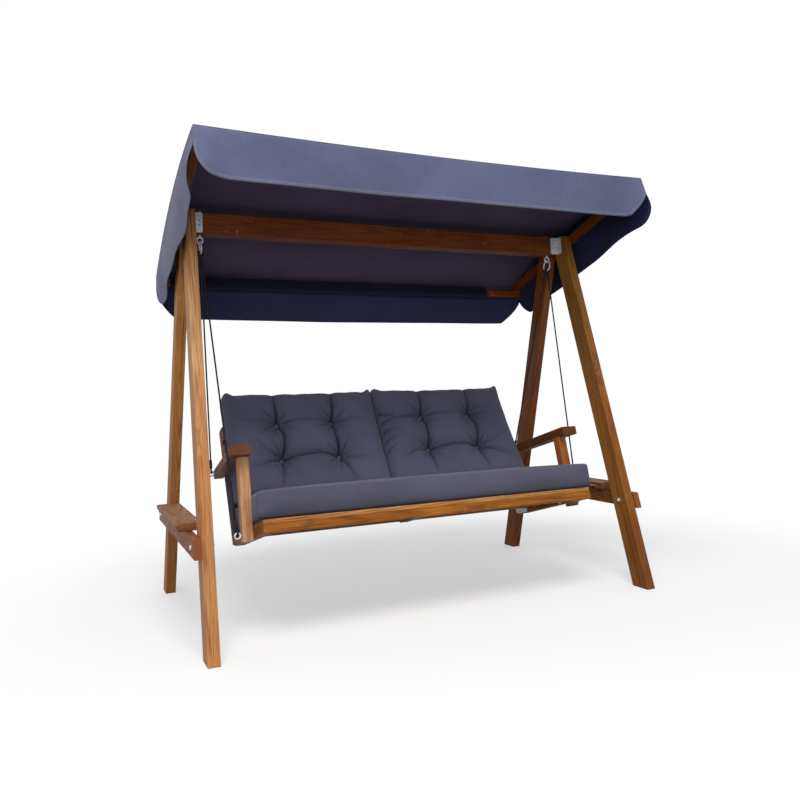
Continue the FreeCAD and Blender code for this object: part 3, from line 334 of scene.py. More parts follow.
# Finishes
def make_timber(name, grain, light, dark, shift):
    """Stained softwood whose grain runs along a direction of the object."""
    finish, tree, shader = new_finish(name, Specular_IOR_Level=0.2)
    along = Vector(grain).normalized()
    side = Vector((0, 0, 1)) if abs(along.z) < 0.7 else Vector((1, 0, 0))
    across = side.cross(along).normalized()
    turn = Matrix((along, across, along.cross(across))).to_euler("XYZ")
    where = object_place(tree)
    board = put(tree, "Mapping", Vector=where, Rotation=turn, Location=shift).outputs[0]
    wood = place_group(tree, timber_grain, Along_Board=board)
    wear = place_group(tree, outdoor_wear, Place=where, Size=1.0)
    colour = tint(tree, shade(light), shade(dark), times(tree, wood["Bands"], 0.85))
    stains = (("7d4a24", ramp(tree, wood["Fibres"], 0.42, 0.72, 0.0, 0.55), "MULTIPLY"),
              ("c69a78", ramp(tree, wood["Tone"], 0.36, 0.66, 0.0, 0.85), "MULTIPLY"),
              ("b9a08c", times(tree, wear["Stain"], 0.35), "MULTIPLY"),
              ("4a2711", times(tree, wood["Knots"], 0.85), "MIX"),
              ("d3b08c", times(tree, wear["Scuff"], 0.25), "MIX"))
    for stain, share, blend in stains:
        colour = tint(tree, colour, shade(stain), share, blend)
    dress(tree, shader, colour, ramp(tree, wood["Fibres"], 0.3, 0.7, 0.48, 0.72))
    relief = plus(tree, times(tree, wood["Fibres"], 0.7), times(tree, wood["Bands"], 0.3))
    bumped(tree, shader, relief, 0.35, 0.0008)
    return finish


def make_cloth(name, colour, threads, worn, sheen):
    """Woven outdoor cloth on the piece's own flat coordinates, with painted shade where its fold attribute
    says so.
    """
    finish, tree, shader = new_finish(name, Sheen_Weight=sheen, Sheen_Roughness=0.5, Specular_IOR_Level=0.2)
    flat = put(tree, "UVMap", {"uv_map": "flat"}).outputs[0]
    fold_shade = put(tree, "Attribute", {"attribute_name": "fold_shade"}).outputs["Fac"]
    weave = place_group(tree, plain_weave, Flat=flat, Threads_Per_Metre=threads)
    wear = place_group(tree, outdoor_wear, Place=flat, Size=0.6)
    base = tint(tree, shade(colour), shade(worn), ramp(tree, weave["Slubs"], 0.38, 0.64, 0.0, 0.5))
    # The last of these is painted shade in creases and folds, as the piece's fold attribute gives it
    shades = (("b4b4bc", ramp(tree, weave["Fade"], 0.35, 0.68, 0.0, 0.25)),
              ("90909a", ramp(tree, weave["Threads"], 0.1, 0.9, 0.35, 0.0)),
              ("a8a6a2", times(tree, wear["Stain"], 0.22)),
              ("2a2a36", times(tree, fold_shade, 0.92)))
    for darker, share in shades:
        base = tint(tree, base, shade(darker), share, "MULTIPLY")
    dress(tree, shader, base, ramp(tree, weave["Slubs"], 0.3, 0.7, 0.78, 0.95))
    relief = plus(tree, weave["Threads"], times(tree, weave["Slubs"], 0.8))
    bumped(tree, shader, relief, 0.3, 0.0005)
    return finish


def make_rope_finish():
    finish, tree, shader = new_finish("black_rope", Specular_IOR_Level=0.3)
    where = object_place(tree)
    fuzz = noise(tree, where, 900.0, 3.0, 0.7)
    dust = noise(tree, where, 14.0, 3.0, 0.6)
    base = tint(tree, shade("141416"), shade("2b2b2e"), ramp(tree, fuzz, 0.4, 0.7, 0.0, 0.8))
    base = tint(tree, base, shade("3c3833"), ramp(tree, dust, 0.5, 0.75, 0.0, 0.5))
    dress(tree, shader, base, ramp(tree, fuzz, 0.3, 0.7, 0.6, 0.9))
    bumped(tree, shader, fuzz, 0.4, 0.0004)
    return finish


def make_galvanised():
    """Zinc-plated steel with faint spangle and dull patches."""
    finish, tree, shader = new_finish("zinc_plate", Metallic=0.2)
    where = object_place(tree)
    spangle = put(tree, "TexVoronoi", Vector=where, Scale=170.0).outputs["Color"]
    grey = put(tree, "SeparateColor", in0=spangle).outputs[0]
    wear = place_group(tree, outdoor_wear, Place=where, Size=3.0)
    base = tint(tree, shade("bac6d8"), shade("eaf1fb"), grey)
    base = tint(tree, base, shade("857f78"), times(tree, wear["Stain"], 0.35))
    dull = plus(tree, times(tree, grey, 0.12), ramp(tree, wear["Stain"], 0.0, 1.0, 0.3, 0.5))
    dress(tree, shader, base, dull)
    bumped(tree, shader, noise(tree, where, 420.0, 2.0), 0.12, 0.0003)
    return finish


def make_thread():
    finish, tree, shader = new_finish("sewing_thread", Specular_IOR_Level=0.3)
    where = object_place(tree)
    ply = noise(tree, where, 1400.0, 2.0)
    base = tint(tree, shade("565b75"), shade("747a94"), ply)
    dress(tree, shader, base, ramp(tree, ply, 0.3, 0.7, 0.6, 0.85))
    return finish


def make_button_cloth():
    finish, tree, shader = new_finish("button_cloth", Sheen_Weight=0.2, Specular_IOR_Level=0.2)
    where = object_place(tree)
    weave = place_group(tree, plain_weave, Flat=where, Threads_Per_Metre=900.0)
    # Darker than the tufted cloth: painted shade for the buttons sunk in the tufts
    base = tint(tree, shade("4a4b60"), shade("5a5c70"), weave["Slubs"])
    dress(tree, shader, base, ramp(tree, weave["Slubs"], 0.3, 0.7, 0.75, 0.92))
    bumped(tree, shader, weave["Threads"], 0.3, 0.0004)
    return finish


LEG_RUN = math.radians(16.45)
# Each cloth's colour, threads per metre, worn colour and sheen
canopy_cloth = make_cloth("slate_canopy_cloth", "5d6282", 620.0, "6b7090", 0.12)
binding_cloth = make_cloth("hem_binding", "666a80", 700.0, "757989", 0.12)
roof_lining = make_cloth("coated_roof_underside", "5e506b", 620.0, "695b76", 0.05)
# Inner faces of the front and rear flaps: the canopy cloth darkened as painted shade
end_lining_painted_shade = make_cloth("coated_flap_inside", "31345a", 620.0, "3b3e64", 0.05)
# Inner faces of the side flaps: the canopy cloth darkened further as painted shade
side_lining_painted_shade = make_cloth("coated_side_flap_inside", "20244a", 620.0, "2a2e54", 0.05)
# Batten pocket: the canopy cloth darkened almost to black as painted shade
pocket_cloth_painted_shade = make_cloth("doubled_canopy_cloth", "10102a", 620.0, "181834", 0.05)
# Seat and back cushions are one navy cloth in two copies: the seat's darker as painted shade, the tufted
# back's lighter as painted light
cushion_cloth = make_cloth("navy_cushion_cloth", "535364", 760.0, "5e5e70", 0.12)
tufted_cloth = make_cloth("navy_tufted_cloth", "5e5f76", 760.0, "6a6b82", 0.12)
# Cushion ties: the cushion cloth darkened as painted shade beside the back's foot
tie_cloth = make_cloth("dark_tie_cloth", "262840", 900.0, "30324a", 0.05)
black_rope = make_rope_finish()
zinc_plate = make_galvanised()
sewing_thread = make_thread()
# Button cloth: a darker copy of the cushion cloth, painted shade
button_cloth = make_button_cloth()
ALONG_X, ALONG_Y = (1, 0, 0), (0, 1, 0)
ALONG_FRONT_LEG, ALONG_REAR_LEG = (0, math.tan(LEG_RUN), 1), (0, -math.tan(LEG_RUN), 1)
ALONG_RAFTER = step(in_canopy, 1, 0)
ALONG_SEAT, UP_SEAT = step(in_seat, 1, 0), step(in_seat, 0, 1)
UP_BACK, OUT_OF_BACK = step(in_back, 0, 1), step(in_back, -1, 0)
# Words in a node's name, its grain, and the lighter and darker colour of its boards: stain, with painted
# light or shade where noted
BOARDS = (
    # Left legs and left front post: a lighter copy of the timber, painted light; right legs and right front
    # post: a darker copy, painted shade
    ("left_front_leg", ALONG_FRONT_LEG, "e6c08a", "c89e6a"),
    ("right_front_leg", ALONG_FRONT_LEG, "a26e30", "82521e"),
    ("left_rear_leg", ALONG_REAR_LEG, "c08a4c", "9c6430"),
    ("right_rear_leg", ALONG_REAR_LEG, "8c5226", "6a3a15"),
    ("cross_rail", ALONG_Y, "a8743e", "8a5628"),
    ("tray_board", ALONG_Y, "a57a52", "855832"),
    ("tray_cleats", ALONG_X, "a8743e", "8a5628"),
    # Beam: the timber darkened as painted shade from the canopy above it
    ("top_beam", ALONG_X, "8f541c", "723b0f"),
    ("batten", ALONG_X, "985c2c", "76421c"),
    ("rafter", ALONG_RAFTER, "985c2c", "76421c"),
    ("slats", ALONG_X, "c08c54", "9c6833"),
    ("front_rail", ALONG_X, "a66818", "884c0d"),
    ("rear_rail", ALONG_X, "9a6228", "7a4618"),
    ("side_rail", ALONG_SEAT, "9a6228", "7a4618"),
    ("joist", ALONG_SEAT, "9a6228", "7a4618"),
    ("armrest", ALONG_SEAT, "7e4e28", "603818"),
    ("left_front_post", UP_SEAT, "e2ba92", "c79a74"),
    ("right_front_post", UP_SEAT, "b87c42", "96602a"),
    ("stile", UP_BACK, "8a5f3c", "6b4526"),
)


def finish_cad_nodes():
    """Give every carried-over node the finish of its material slot."""
    slots = {row["node"]: row["material_slot"] for row in frame["record"]["subparts"]}
    plain = {"rope": black_rope, "galvanised_steel": zinc_plate,
             "canopy_cloth": canopy_cloth, "cushion_cloth": cushion_cloth}
    stained = {}
    for i, (word, grain, light, dark) in enumerate(BOARDS):
        stained[word] = make_timber(word + "_timber", grain, light, dark, (0.17 * i, 0.05 * i, 0.03 * i))
    for name, node in frame["nodes"].items():
        finish = plain.get(slots[name])
        if finish is None:
            finish = next(stained[word] for word in stained if word in name)
        node.data.materials.clear()
        node.data.materials.append(finish)


# Mesh helpers
def new_piece(name, points, faces, finish):
    mesh = bpy.data.meshes.new(name)
    mesh.from_pydata([tuple(p) for p in points], [], faces)
    mesh.polygons.foreach_set("use_smooth", [True] * len(mesh.polygons))
    mesh.materials.append(finish)
    return linked(name, mesh)


def grid_faces(rows, columns, first=0, closed=False):
    """Quads between rows of points, each row `columns` long."""
    faces = []
    last = columns if closed else columns - 1
    for i in range(rows - 1):
        for j in range(last):
            a = first + i * columns + j
            b = first + i * columns + (j + 1) % columns
            faces.append((a, b, b + columns, a + columns))
    return faces


def spokes(out, rise, count):
    """Directions evenly round a circle, from `out` towards `rise`."""
    turns = [2 * math.pi * j / count for j in range(count)]
    return [out * math.cos(turn) + rise * math.sin(turn) for turn in turns]


def tube_ends(first, last, sides, closed):
    """Faces that join a tube's last ring of points to its first, or else cap both."""
    around = range(sides)
    if closed:
        return [(last + j, last + (j + 1) % sides, first + (j + 1) % sides, first + j) for j in around]
    return [tuple(first + j for j in around), tuple(last + j for j in around)]


def lay_flat(piece, flat):
    """Keep each vertex's place on the flat cloth, in metres, as the piece's own coordinates."""
    mesh = piece.data
    layer = mesh.uv_layers.new(name="flat")
    corner = np.zeros(len(mesh.loops), np.int32)
    mesh.loops.foreach_get("vertex_index", corner)
    layer.data.foreach_set("uv", np.asarray(flat, np.float32)[corner].ravel())


def cloth_grid(name, rows, columns, place, finish):
    """A thin sheet; place(row, column) gives a point of it and where that lies on the flat cloth."""
    spots = [place(i, j) for i in range(rows) for j in range(columns)]
    sheet = new_piece(name, [point for point, _ in spots], grid_faces(rows, columns), finish)
    lay_flat(sheet, [flat for _, flat in spots])
    return sheet


def outward(piece):
    """Merge doubles and turn every face outwards."""
    work = bmesh.new()
    work.from_mesh(piece.data)
    bmesh.ops.remove_doubles(work, verts=work.verts, dist=1e-6)
    bmesh.ops.recalc_face_normals(work, faces=work.faces)
    work.to_mesh(piece.data)
    work.free()


def settle(piece):
    """Turn a piece with modifiers into a plain mesh."""
    graph = bpy.context.evaluated_depsgraph_get()
    mesh = bpy.data.meshes.new_from_object(piece.evaluated_get(graph), preserve_all_data_layers=True,
                                           depsgraph=graph)
    piece.modifiers.clear()
    piece.data = mesh
    mesh.polygons.foreach_set("use_smooth", [True] * len(mesh.polygons))
    return piece


def refine(piece):
    """Subdivide a piece once and settle it."""
    sub = piece.modifiers.new("soft", "SUBSURF")
    sub.levels = sub.render_levels = 1
    return settle(piece)


def thicken(piece, thick):
    solid = piece.modifiers.new("cloth_thickness", "SOLIDIFY")
    solid.thickness = thick
    solid.offset = 0
    return settle(piece)


def line_inside(piece, out, lining):
    """Give the side of a cloth that faces away from `out` its own finish."""
    piece.data.materials.append(lining)
    for face in piece.data.polygons:
        if face.normal.dot(out) < -0.3:
            face.material_index = 1
    return piece


def declare(piece, body, slot, *nodes):
    """Say which body a piece moves with and the nodes it takes the place of; its material slot is not used.
    """
    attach(piece, body)
    if nodes:
        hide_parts(*nodes)
    return piece


# Ropes
def route(points):
    """Points along the smooth line that has these as its control points."""
    curve = bpy.data.curves.new("rope_route", "CURVE")
    curve.dimensions = "3D"
    curve.resolution_u = 40
    spline = curve.splines.new("NURBS")
    spline.points.add(len(points) - 1)
    for place, point in zip(spline.points, points):
        place.co = (*point, 1)
    spline.order_u = 3
    spline.use_endpoint_u = True
    holder = linked("rope_route", curve)
    graph = bpy.context.evaluated_depsgraph_get()
    mesh = bpy.data.meshes.new_from_object(holder.evaluated_get(graph))
    line = [v.co.copy() for v in mesh.vertices]
    bpy.data.objects.remove(holder)
    bpy.data.meshes.remove(mesh)
    bpy.data.curves.remove(curve)
    return line


def even_steps(line, spacing):
    """The same line as points at an even spacing, and how far along it each lies."""
    line = np.array(line)
    run = np.concatenate([[0], np.cumsum(np.linalg.norm(np.diff(line, axis=0), axis=1))])
    count = max(2, int(round(run[-1] / spacing)) + 1)
    marks = np.linspace(0, run[-1], count)
    return np.stack([np.interp(marks, run, line[:, k]) for k in range(3)], axis=1), marks


def strands(line, marks, side, radius, lay, closed=False):
    """Three strands laid round a line; gives points and faces."""
    tangent = np.gradient(line, axis=0)
    if closed:
        tangent = np.roll(line, -1, axis=0) - np.roll(line, 1, axis=0)
    tangent /= np.linalg.norm(tangent, axis=1)[:, None]
    side = np.asarray(side, float) - tangent * (tangent @ np.asarray(side, float))[:, None]
    side /= np.linalg.norm(side, axis=1)[:, None]
    other = np.cross(tangent, side)
    strand_radius, sides = radius * STRAND_SHARE, 7
    points, faces = [], []
    for k in range(3):
        turn = 2 * math.pi * (marks / lay + k / 3)
        out = side * np.cos(turn)[:, None] + other * np.sin(turn)[:, None]
        centre = line + out * (radius - strand_radius)
        around = np.cross(tangent, out)
        rings = [centre + strand_radius * spoke for spoke in spokes(out, around, sides)]
        first, count = len(points), len(line)
        points.extend(np.stack(rings, axis=1).reshape(-1, 3).tolist())
        faces.extend(grid_faces(count, sides, first, True))
        faces.extend(tube_ends(first, first + (count - 1) * sides, sides, closed))
    return points, faces


def whipping(start, along, side, radius, long, wraps):
    """Twine wound tightly over a splice; gives points and faces of a ridged sleeve."""
    across = along.cross(side).normalized()
    side = across.cross(along)
    steps, sides = wraps * 4, 14
    points = []
    for i in range(steps + 1):
        share = i / steps
        ridge = 0.93 + 0.07 * abs(math.sin(math.pi * wraps * share))
        taper = 1 - 0.42 * max(0.0, 1 - share * 14, 1 - (1 - share) * 14)
        for spoke in spokes(side, across, sides):
            points.append(start + along * (long * share) + spoke * (radius * ridge * taper))
    return points, grid_faces(steps + 1, sides, 0, True) + tube_ends(0, steps * sides, sides, False)


def make_rope(side_name, sign, end):
    """One taut laid rope with a spliced and whipped loop at each end."""
    upper, lower = [Vector((sign * p.x, p.y, p.z)) for p in ROPE_ENDS[end]]
    along = (lower - upper).normalized()
    start, finish = upper + along * ROPE_LOOP, lower - along * ROPE_LOOP
    ease = 6 * ROPE_DIA
    line = route([start, start + along * ease, finish - along * ease, finish])
    steps, marks = even_steps(line, ROPE_LAY / 12)
    points, faces = strands(steps, marks, (1, 0, 0), ROPE_DIA / 2, ROPE_LAY)
    rope = new_piece(f"{side_name}_{end}_hanging_rope", points, faces, black_rope)
    outward(rope)
    declare(rope, "seat", "rope", f"{side_name}_{end}_rope")
    ring_normal = Vector((sign * RING_NORMAL.x, RING_NORMAL.y * sign, RING_NORMAL.z))
    flat = along.cross(ring_normal)
    aside = (Vector((1, 0, 0)) - along * along.x).normalized()
    parts = [rope_eye(upper, flat.normalized(), along), rope_eye(lower, aside, along)]
    gap = ROPE_LOOP + SPLICE_GAP
    for place in (upper + along * gap, lower - along * (gap + SPLICE_LONG)):
        parts.append(whipping(place, along, aside, SPLICE_DIA / 2, SPLICE_LONG, SPLICE_WRAPS))
    points, faces = joined(parts)
    ends = new_piece(f"{side_name}_{end}_rope_splices", points, faces, black_rope)
    outward(ends)
    declare(ends, "seat", "rope")
    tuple(start)


def rope_eye(centre, normal, along):
    """A small closed loop of the same rope, spliced back on itself."""
    count, twists = 48, 3
    across = normal.cross(along).normalized()
    ring = np.array([centre + spoke * ROPE_LOOP for spoke in spokes(along, across, count)])
    around = 2 * math.pi * ROPE_LOOP
    marks = np.arange(count) / count * around
    return strands(ring, marks, normal, ROPE_DIA / 2, around / twists, closed=True)


def joined(parts):
    """The points and faces of several parts as one list of each."""
    points, faces = [], []
    for part_points, part_faces in parts:
        first = len(points)
        points.extend([tuple(p) for p in part_points])
        faces.extend([tuple(first + i for i in face) for face in part_faces])
    return points, faces


# Canopy cloth
ROOF_MID, ROOF_REACH = (ROOF_FRONT + ROOF_REAR) / 2, (ROOF_REAR - ROOF_FRONT) / 2
ROOF_RADIUS = (ROOF_REACH ** 2 + ROOF_CROWN ** 2) / (2 * ROOF_CROWN)


def roof_point(x, s):
    """The roof cloth: arched from front to rear, sagging a little between its sides."""
    share = (s - ROOF_MID) / ROOF_REACH
    arch = math.sqrt(ROOF_RADIUS ** 2 - (s - ROOF_MID) ** 2) - (ROOF_RADIUS - ROOF_CROWN)
    low = ROOF_SAG * (1 - (x / ROOF_HALF) ** 2) * (0.5 + 0.5 * share ** 2)
    along, down = low * math.sin(CANOPY_TILT), low * math.cos(CANOPY_TILT)
    return in_canopy(x, s + along, ROOF_LIFT + arch - down)


def make_roof():
    columns, rows = 97, 65

    def place(i, j):
        s = ROOF_FRONT + (ROOF_REAR - ROOF_FRONT) * i / (rows - 1)
        x = -ROOF_HALF + 2 * ROOF_HALF * j / (columns - 1)
        ripple = ROOF_RIPPLE * math.sin(9 * x + 3 * s) * math.sin(7 * s + 1.3 * x)
        edge = (1 - (x / ROOF_HALF) ** 2) * (1 - ((s - ROOF_MID) / ROOF_REACH) ** 2)
        return roof_point(x, s) + Vector((0, 0, ripple * edge)), (x, s)
    roof = cloth_grid("canopy_roof_cloth", rows, columns, place, canopy_cloth)
    line_inside(thicken(roof, CLOTH_THICK), Vector((0, 0, 1)), roof_lining)
    declare(roof, "canopy", "canopy_cloth", "canopy_roof")


class Flap:
    """One hanging flap, by places along its upper edge (a) and down its cloth (d).

    `top` gives the upper edge, `fall` the way it hangs, `out` its outer side, `along` the way of its edge,
    `deep` its depth, `billow` how far it stands out and `tuck` how far it shifts along its edge.
    """

    def __init__(self, name, node, half, top, fall, out, along, deep, billow, tuck, corners, lining):
        self.name, self.node, self.half = name, node, half
        self.top, self.fall, self.out, self.along = top, fall, out, along
        self.deep, self.billow, self.tuck = deep, billow, tuck
        self.corners, self.lining = corners, lining

    def point(self, a, d, lift=0.0):
        hung = self.top(a) + self.fall(a) * d
        return hung + self.out * (self.billow(a, d) + lift) + self.along * self.tuck(a, d)

    def drop(self, a):
        """How far the cloth hangs at a place along its edge, with cut-away lower corners."""
        wide, high, power = self.corners[0 if a < 0 else 1]
        share = max(0.0, 1 - (self.half - abs(a)) / wide)
        return self.deep(a) - high * (1 - (1 - share ** power) ** (1 / power))

    def end_edge(self, end):
        """One end's free edge below the sewn corner, down to the straight hem."""
        wide, high, power = self.corners[end]
        low = self.deep(self.half) - high
        side = (-1, 1)[end]
        path = [(side * self.half, low * (0.84 + 0.04 * i)) for i in range(4)]
        for i in range(17):
            turn = math.pi / 2 * i / 16
            a = side * (self.half - wide * (1 - math.cos(turn) ** (2 / power)))
            path.append((a, self.deep(a) - high + high * math.sin(turn) ** (2 / power)))
        return path

    def border(self, inset):
        """The free edge on the flat cloth, moved inwards by an inset."""
        left, right = self.end_edge(0), self.end_edge(1)
        start, stop = left[-1][0], right[-1][0]
        hem = [start + (stop - start) * i / 60 for i in range(1, 60)]
        path = np.array(left + [(a, self.deep(a)) for a in hem] + right[::-1])
        run = np.gradient(path, axis=0)
        run /= np.linalg.norm(run, axis=1)[:, None]
        return [tuple(p) for p in path + inset * np.stack([run[:, 1], -run[:, 0]], axis=1)]

    def make_sheet(self):
        left, right = [[self.half - wide * (1 - math.cos(math.pi / 2 * i / 14)) for i in range(14)]
                       for wide, _, _ in self.corners]
        start, stop = -self.half + self.corners[0][0], self.half - self.corners[1][0]
        middle = [start + (stop - start) * i / 84 for i in range(85)]
        places = [-e for e in left] + middle + list(reversed(right))
        rows = 22

        def place(i, j):
            a = places[j]
            d = self.drop(a) * i / (rows - 1)
            return self.point(a, d), (a, d)
        sheet = cloth_grid(self.name, rows, len(places), place, canopy_cloth)
        return line_inside(thicken(sheet, CLOTH_THICK), self.out, self.lining)

    def make_binding(self):
        """Folded tape sewn over the free edge."""
        outer, inner = self.border(0.0), self.border(BINDING_WIDE)
        lift, folds = BINDING_LIFT, []
        for edge, inside in zip(outer, inner):
            past = BINDING_WRAP / math.dist(edge, inside)
            tip = [e + (e - i) * past for e, i in zip(edge, inside)]
            folds.append(((*inside, lift), (*edge, lift), (*tip, 0), (*edge, -lift), (*inside, -lift)))

        def place(i, k):
            a, d, height = folds[i][k]
            return self.point(a, d, height), (a, d + 0.01 * k)
        tape = cloth_grid(self.name + "_binding", len(folds), 5, place, binding_cloth)
        return line_inside(thicken(tape, BINDING_THICK), self.out, self.lining)

    def stitch_line(self):
        return [self.point(a, d, STITCH_LIFT) for a, d in self.border(BINDING_WIDE - STITCH_INSET)]

    def make(self):
        sheet, tape = self.make_sheet(), self.make_binding()
        declare(sheet, "canopy", "canopy_cloth", self.node)
        declare(tape, "canopy", "canopy_cloth")
        drops = [self.drop(a) for a in np.linspace(-self.half, self.half, 400)]
        return self.stitch_line()


def smooth(share):
    """Smooth step from 0 to 1, for one number or many."""
    share = np.clip(share, 0.0, 1.0)
    return share * share * (3 - 2 * share)


# Folds of each flap as waves: height, waves along the edge, waves down the cloth, and where they start
FOLDS = {"front": ((0.0045, 5.2, 0.0, 0.6), (0.0025, 11.0, 2.1, 0.0)),
         "rear": ((0.0065, 6.4, 2.6, 0.0), (0.0039, 13.0, -3.2, 0.8), (0.004, 4.1, 7.5, 1.1)),
         "left": ((0.007, 9.0, 0.0, 0.4), (0.004, 21.0, 2.4, 0.0)),
         "right": ((0.0065, 8.2, 0.0, 1.9), (0.004, 19.0, -2.0, 0.7))}
PLUMB = Vector((0, 0, -1))
SQUARE_DOWN = step(in_canopy, 0, -1)


def fold_height(name, a, share):
    """How far a flap's folds stand out at a place along its edge and a share of its depth."""
    waves = FOLDS[name]
    return sum(high * math.sin(along * a + down * share + start) for high, along, down, start in waves)


def corner_flare(d):
    """How far the sewn corners of the flaps stand out sideways at a depth below the roof."""
    return FLAP_LIFT + FLARE * min(d / SLIT_TOP, 1.0)


def end_flap(end, edge_s, sign, deep, corners):
    """The front or rear flap: it hangs plumb, and its ends are sewn to the side flaps above the slits."""
    half = ROOF_HALF - CLEAR

    def pull(a):
        return float(smooth(1 - (half - abs(a)) / CORNER_PULL))

    def top(a):
        return roof_point(a, edge_s)

    def fall(a):
        return PLUMB.lerp(SQUARE_DOWN, pull(a))

    def depth(a):
        return deep - (ROOF_SAG - HEM_SAG) * (1 - (a / ROOF_HALF) ** 2)

    def billow(a, d):
        share = max(d, 0.0) / deep
        return FLAP_LIFT + (1 - pull(a)) * (END_BELLY * share ** 0.8 + share * fold_height(end, a, share))

    def tuck(a, d):
        near = float(smooth(1 - (half - abs(a)) / CORNER_TUCK))
        return math.copysign(near * corner_flare(d), a)
    return Flap(f"{end}_flap", f"{end}_valance", half, top, fall, Vector((0, sign, 0)), Vector((1, 0, 0)),
                depth, billow, tuck, corners, end_lining_painted_shade)


def side_flap(side_name, sign):
    """A side flap: square to the slope, leaning in a little, with its front tip bowed out."""
    half = ROOF_REACH - CLEAR

    def top(a):
        return roof_point(sign * ROOF_HALF, ROOF_MID + a)

    def arch(a):
        return math.sqrt(ROOF_RADIUS ** 2 - a ** 2) - (ROOF_RADIUS - ROOF_CROWN)

    def depth(a):
        return SIDE_DEEP + arch(a)

    def billow(a, d):
        below = max(0.0, d - arch(a))
        share = below / SIDE_DEEP
        front, rear = half + a, half - a
        loose = float(smooth(front / 0.16) * smooth(rear / 0.16))
        lean = loose * (-SIDE_LEAN * share ** 1.3 + share * fold_height(side_name, a, share))
        bow = TIP_BOW * float(smooth((below - 0.06) / 0.10)) * math.exp(-((front - 0.03) / 0.10) ** 2)
        return corner_flare(below) + lean + bow
    return Flap(f"{side_name}_side_flap", f"{side_name}_valance", half, top, lambda a: SQUARE_DOWN,
                Vector((sign, 0, 0)), ALONG_RAFTER, depth, billow, lambda a, d: 0.0,
                SIDE_CORNERS, side_lining_painted_shade)


def tube(centres, outs, rises, radius, sides, closed):
    """Points and faces of a round tube along centres, with two cross directions at each."""
    points = []
    for centre, out, rise in zip(centres, outs, rises):
        points.extend(centre + spoke * radius for spoke in spokes(out, rise, sides))
    count = len(centres)
    return points, grid_faces(count, sides, 0, True) + tube_ends(0, (count - 1) * sides, sides, closed)


def make_edge_piping():
    """Thin cord-filled piping round the roof's edge and down the sewn part of the corners."""
    steps, path = 72, []
    corners = [(-ROOF_HALF, ROOF_FRONT), (ROOF_HALF, ROOF_FRONT),
               (ROOF_HALF, ROOF_REAR), (-ROOF_HALF, ROOF_REAR)]
    for (x0, s0), (x1, s1) in zip(corners, corners[1:] + corners[:1]):
        path += [(x0 + (x1 - x0) * i / steps, s0 + (s1 - s0) * i / steps) for i in range(steps)]
    centres, outs, rises = [], [], []
    edge = [roof_point(x, s) for x, s in path]
    for i, place in enumerate(edge):
        along = (edge[(i + 1) % len(edge)] - edge[i - 1]).normalized()
        out = along.cross(Vector((0, 0, 1))).normalized()
        centres.append(place + out * PIPING_OUT)
        outs.append(out)
        rises.append(out.cross(along))
    parts = [tube(centres, outs, rises, PIPING_RADIUS, 8, True)]
    sideways, rows = Vector((1, 0, 0)), 9
    for x, s in corners:
        line = []
        for i in range(rows):
            d = SLIT_TOP * i / (rows - 1)
            aside = Vector((math.copysign(corner_flare(d) + 0.0004, x), math.copysign(0.0016, s), 0))
            line.append(roof_point(x, s) + SQUARE_DOWN * d + aside)
        square = sideways.cross(SQUARE_DOWN)
        parts.append(tube(line, [sideways] * rows, [square] * rows, CORNER_PIPING_RADIUS, 8, False))
    points, faces = joined(parts)
    piping = new_piece("canopy_edge_piping", points, faces, binding_cloth)
    lay_flat(piping, [(p[0] + p[2], p[1]) for p in points])
    outward(piping)
    declare(piping, "canopy", "canopy_cloth")


def make_batten_sleeve():
    """Pocket of canopy cloth that holds the rear batten, open where the batten's right end shows."""
    long = SLEEVE_RIGHT - SLEEVE_LEFT
    outline = [(0.4805, -0.006), (0.4795, -0.030), (0.4790, -0.054), (0.4830, -0.0605), (0.5000, -0.0620),
               (0.5150, -0.0605), (0.5190, -0.054), (0.5195, -0.030), (0.5205, -0.004)]
    columns, around = 121, len(outline)

    def place(k, j):
        s, n = outline[k]
        x = SLEEVE_LEFT + long * j / (columns - 1)
        pucker = 0.0014 * math.sin(46 * x + 1.7 * k) + 0.0010 * math.sin(23 * x - 0.9 * k)
        away = Vector((0, s - SLEEVE_MIDDLE[0], n - SLEEVE_MIDDLE[1])).normalized()
        return in_canopy(x, s + away.y * pucker, n + away.z * pucker), (x, 0.02 * k)
    # The pocket's near-black finish is painted shade
    sleeve = cloth_grid("rear_batten_sleeve", around, columns, place, pocket_cloth_painted_shade)
    thicken(refine(sleeve), CLOTH_THICK)
    declare(sleeve, "canopy", "canopy_cloth")
    wrap = sum(math.dist(outline[i], outline[i + 1]) for i in range(around - 1))


# Stitches and buttons, placed by geometry nodes
def geometry_tree(name, sizes):
    """A geometry node group with named inputs: its tree, inputs, outputs and the key of each input."""
    tree = bpy.data.node_groups.new(name, "GeometryNodeTree")
    tree.interface.new_socket("Geometry", in_out="INPUT", socket_type="NodeSocketGeometry")
    handles = {}
    for label, kind in sizes:
        socket = tree.interface.new_socket(label, in_out="INPUT", socket_type="NodeSocket" + kind)
        handles[label] = socket.identifier
    tree.interface.new_socket("Geometry", in_out="OUTPUT", socket_type="NodeSocketGeometry")
    entry = tree.nodes.new("NodeGroupInput")
    leave = tree.nodes.new("NodeGroupOutput")
    return tree, entry.outputs, leave.inputs, handles


def lay_out(tree, entry, leave, points, instance, rotation, size):
    """Lay one shape on every point, as plain mesh with the tree's finish."""
    laid = put(tree, "GeometryNodeInstanceOnPoints", Points=points, Instance=instance.outputs["Mesh"],
               Rotation=rotation, Scale=size.outputs[0])
    real = put(tree, "GeometryNodeRealizeInstances", Geometry=laid.outputs[0])
    coloured = put(tree, "GeometryNodeSetMaterial", Geometry=real.outputs[0],
                   Material=entry["Finish"])
    tree.links.new(coloured.outputs[0], leave["Geometry"])


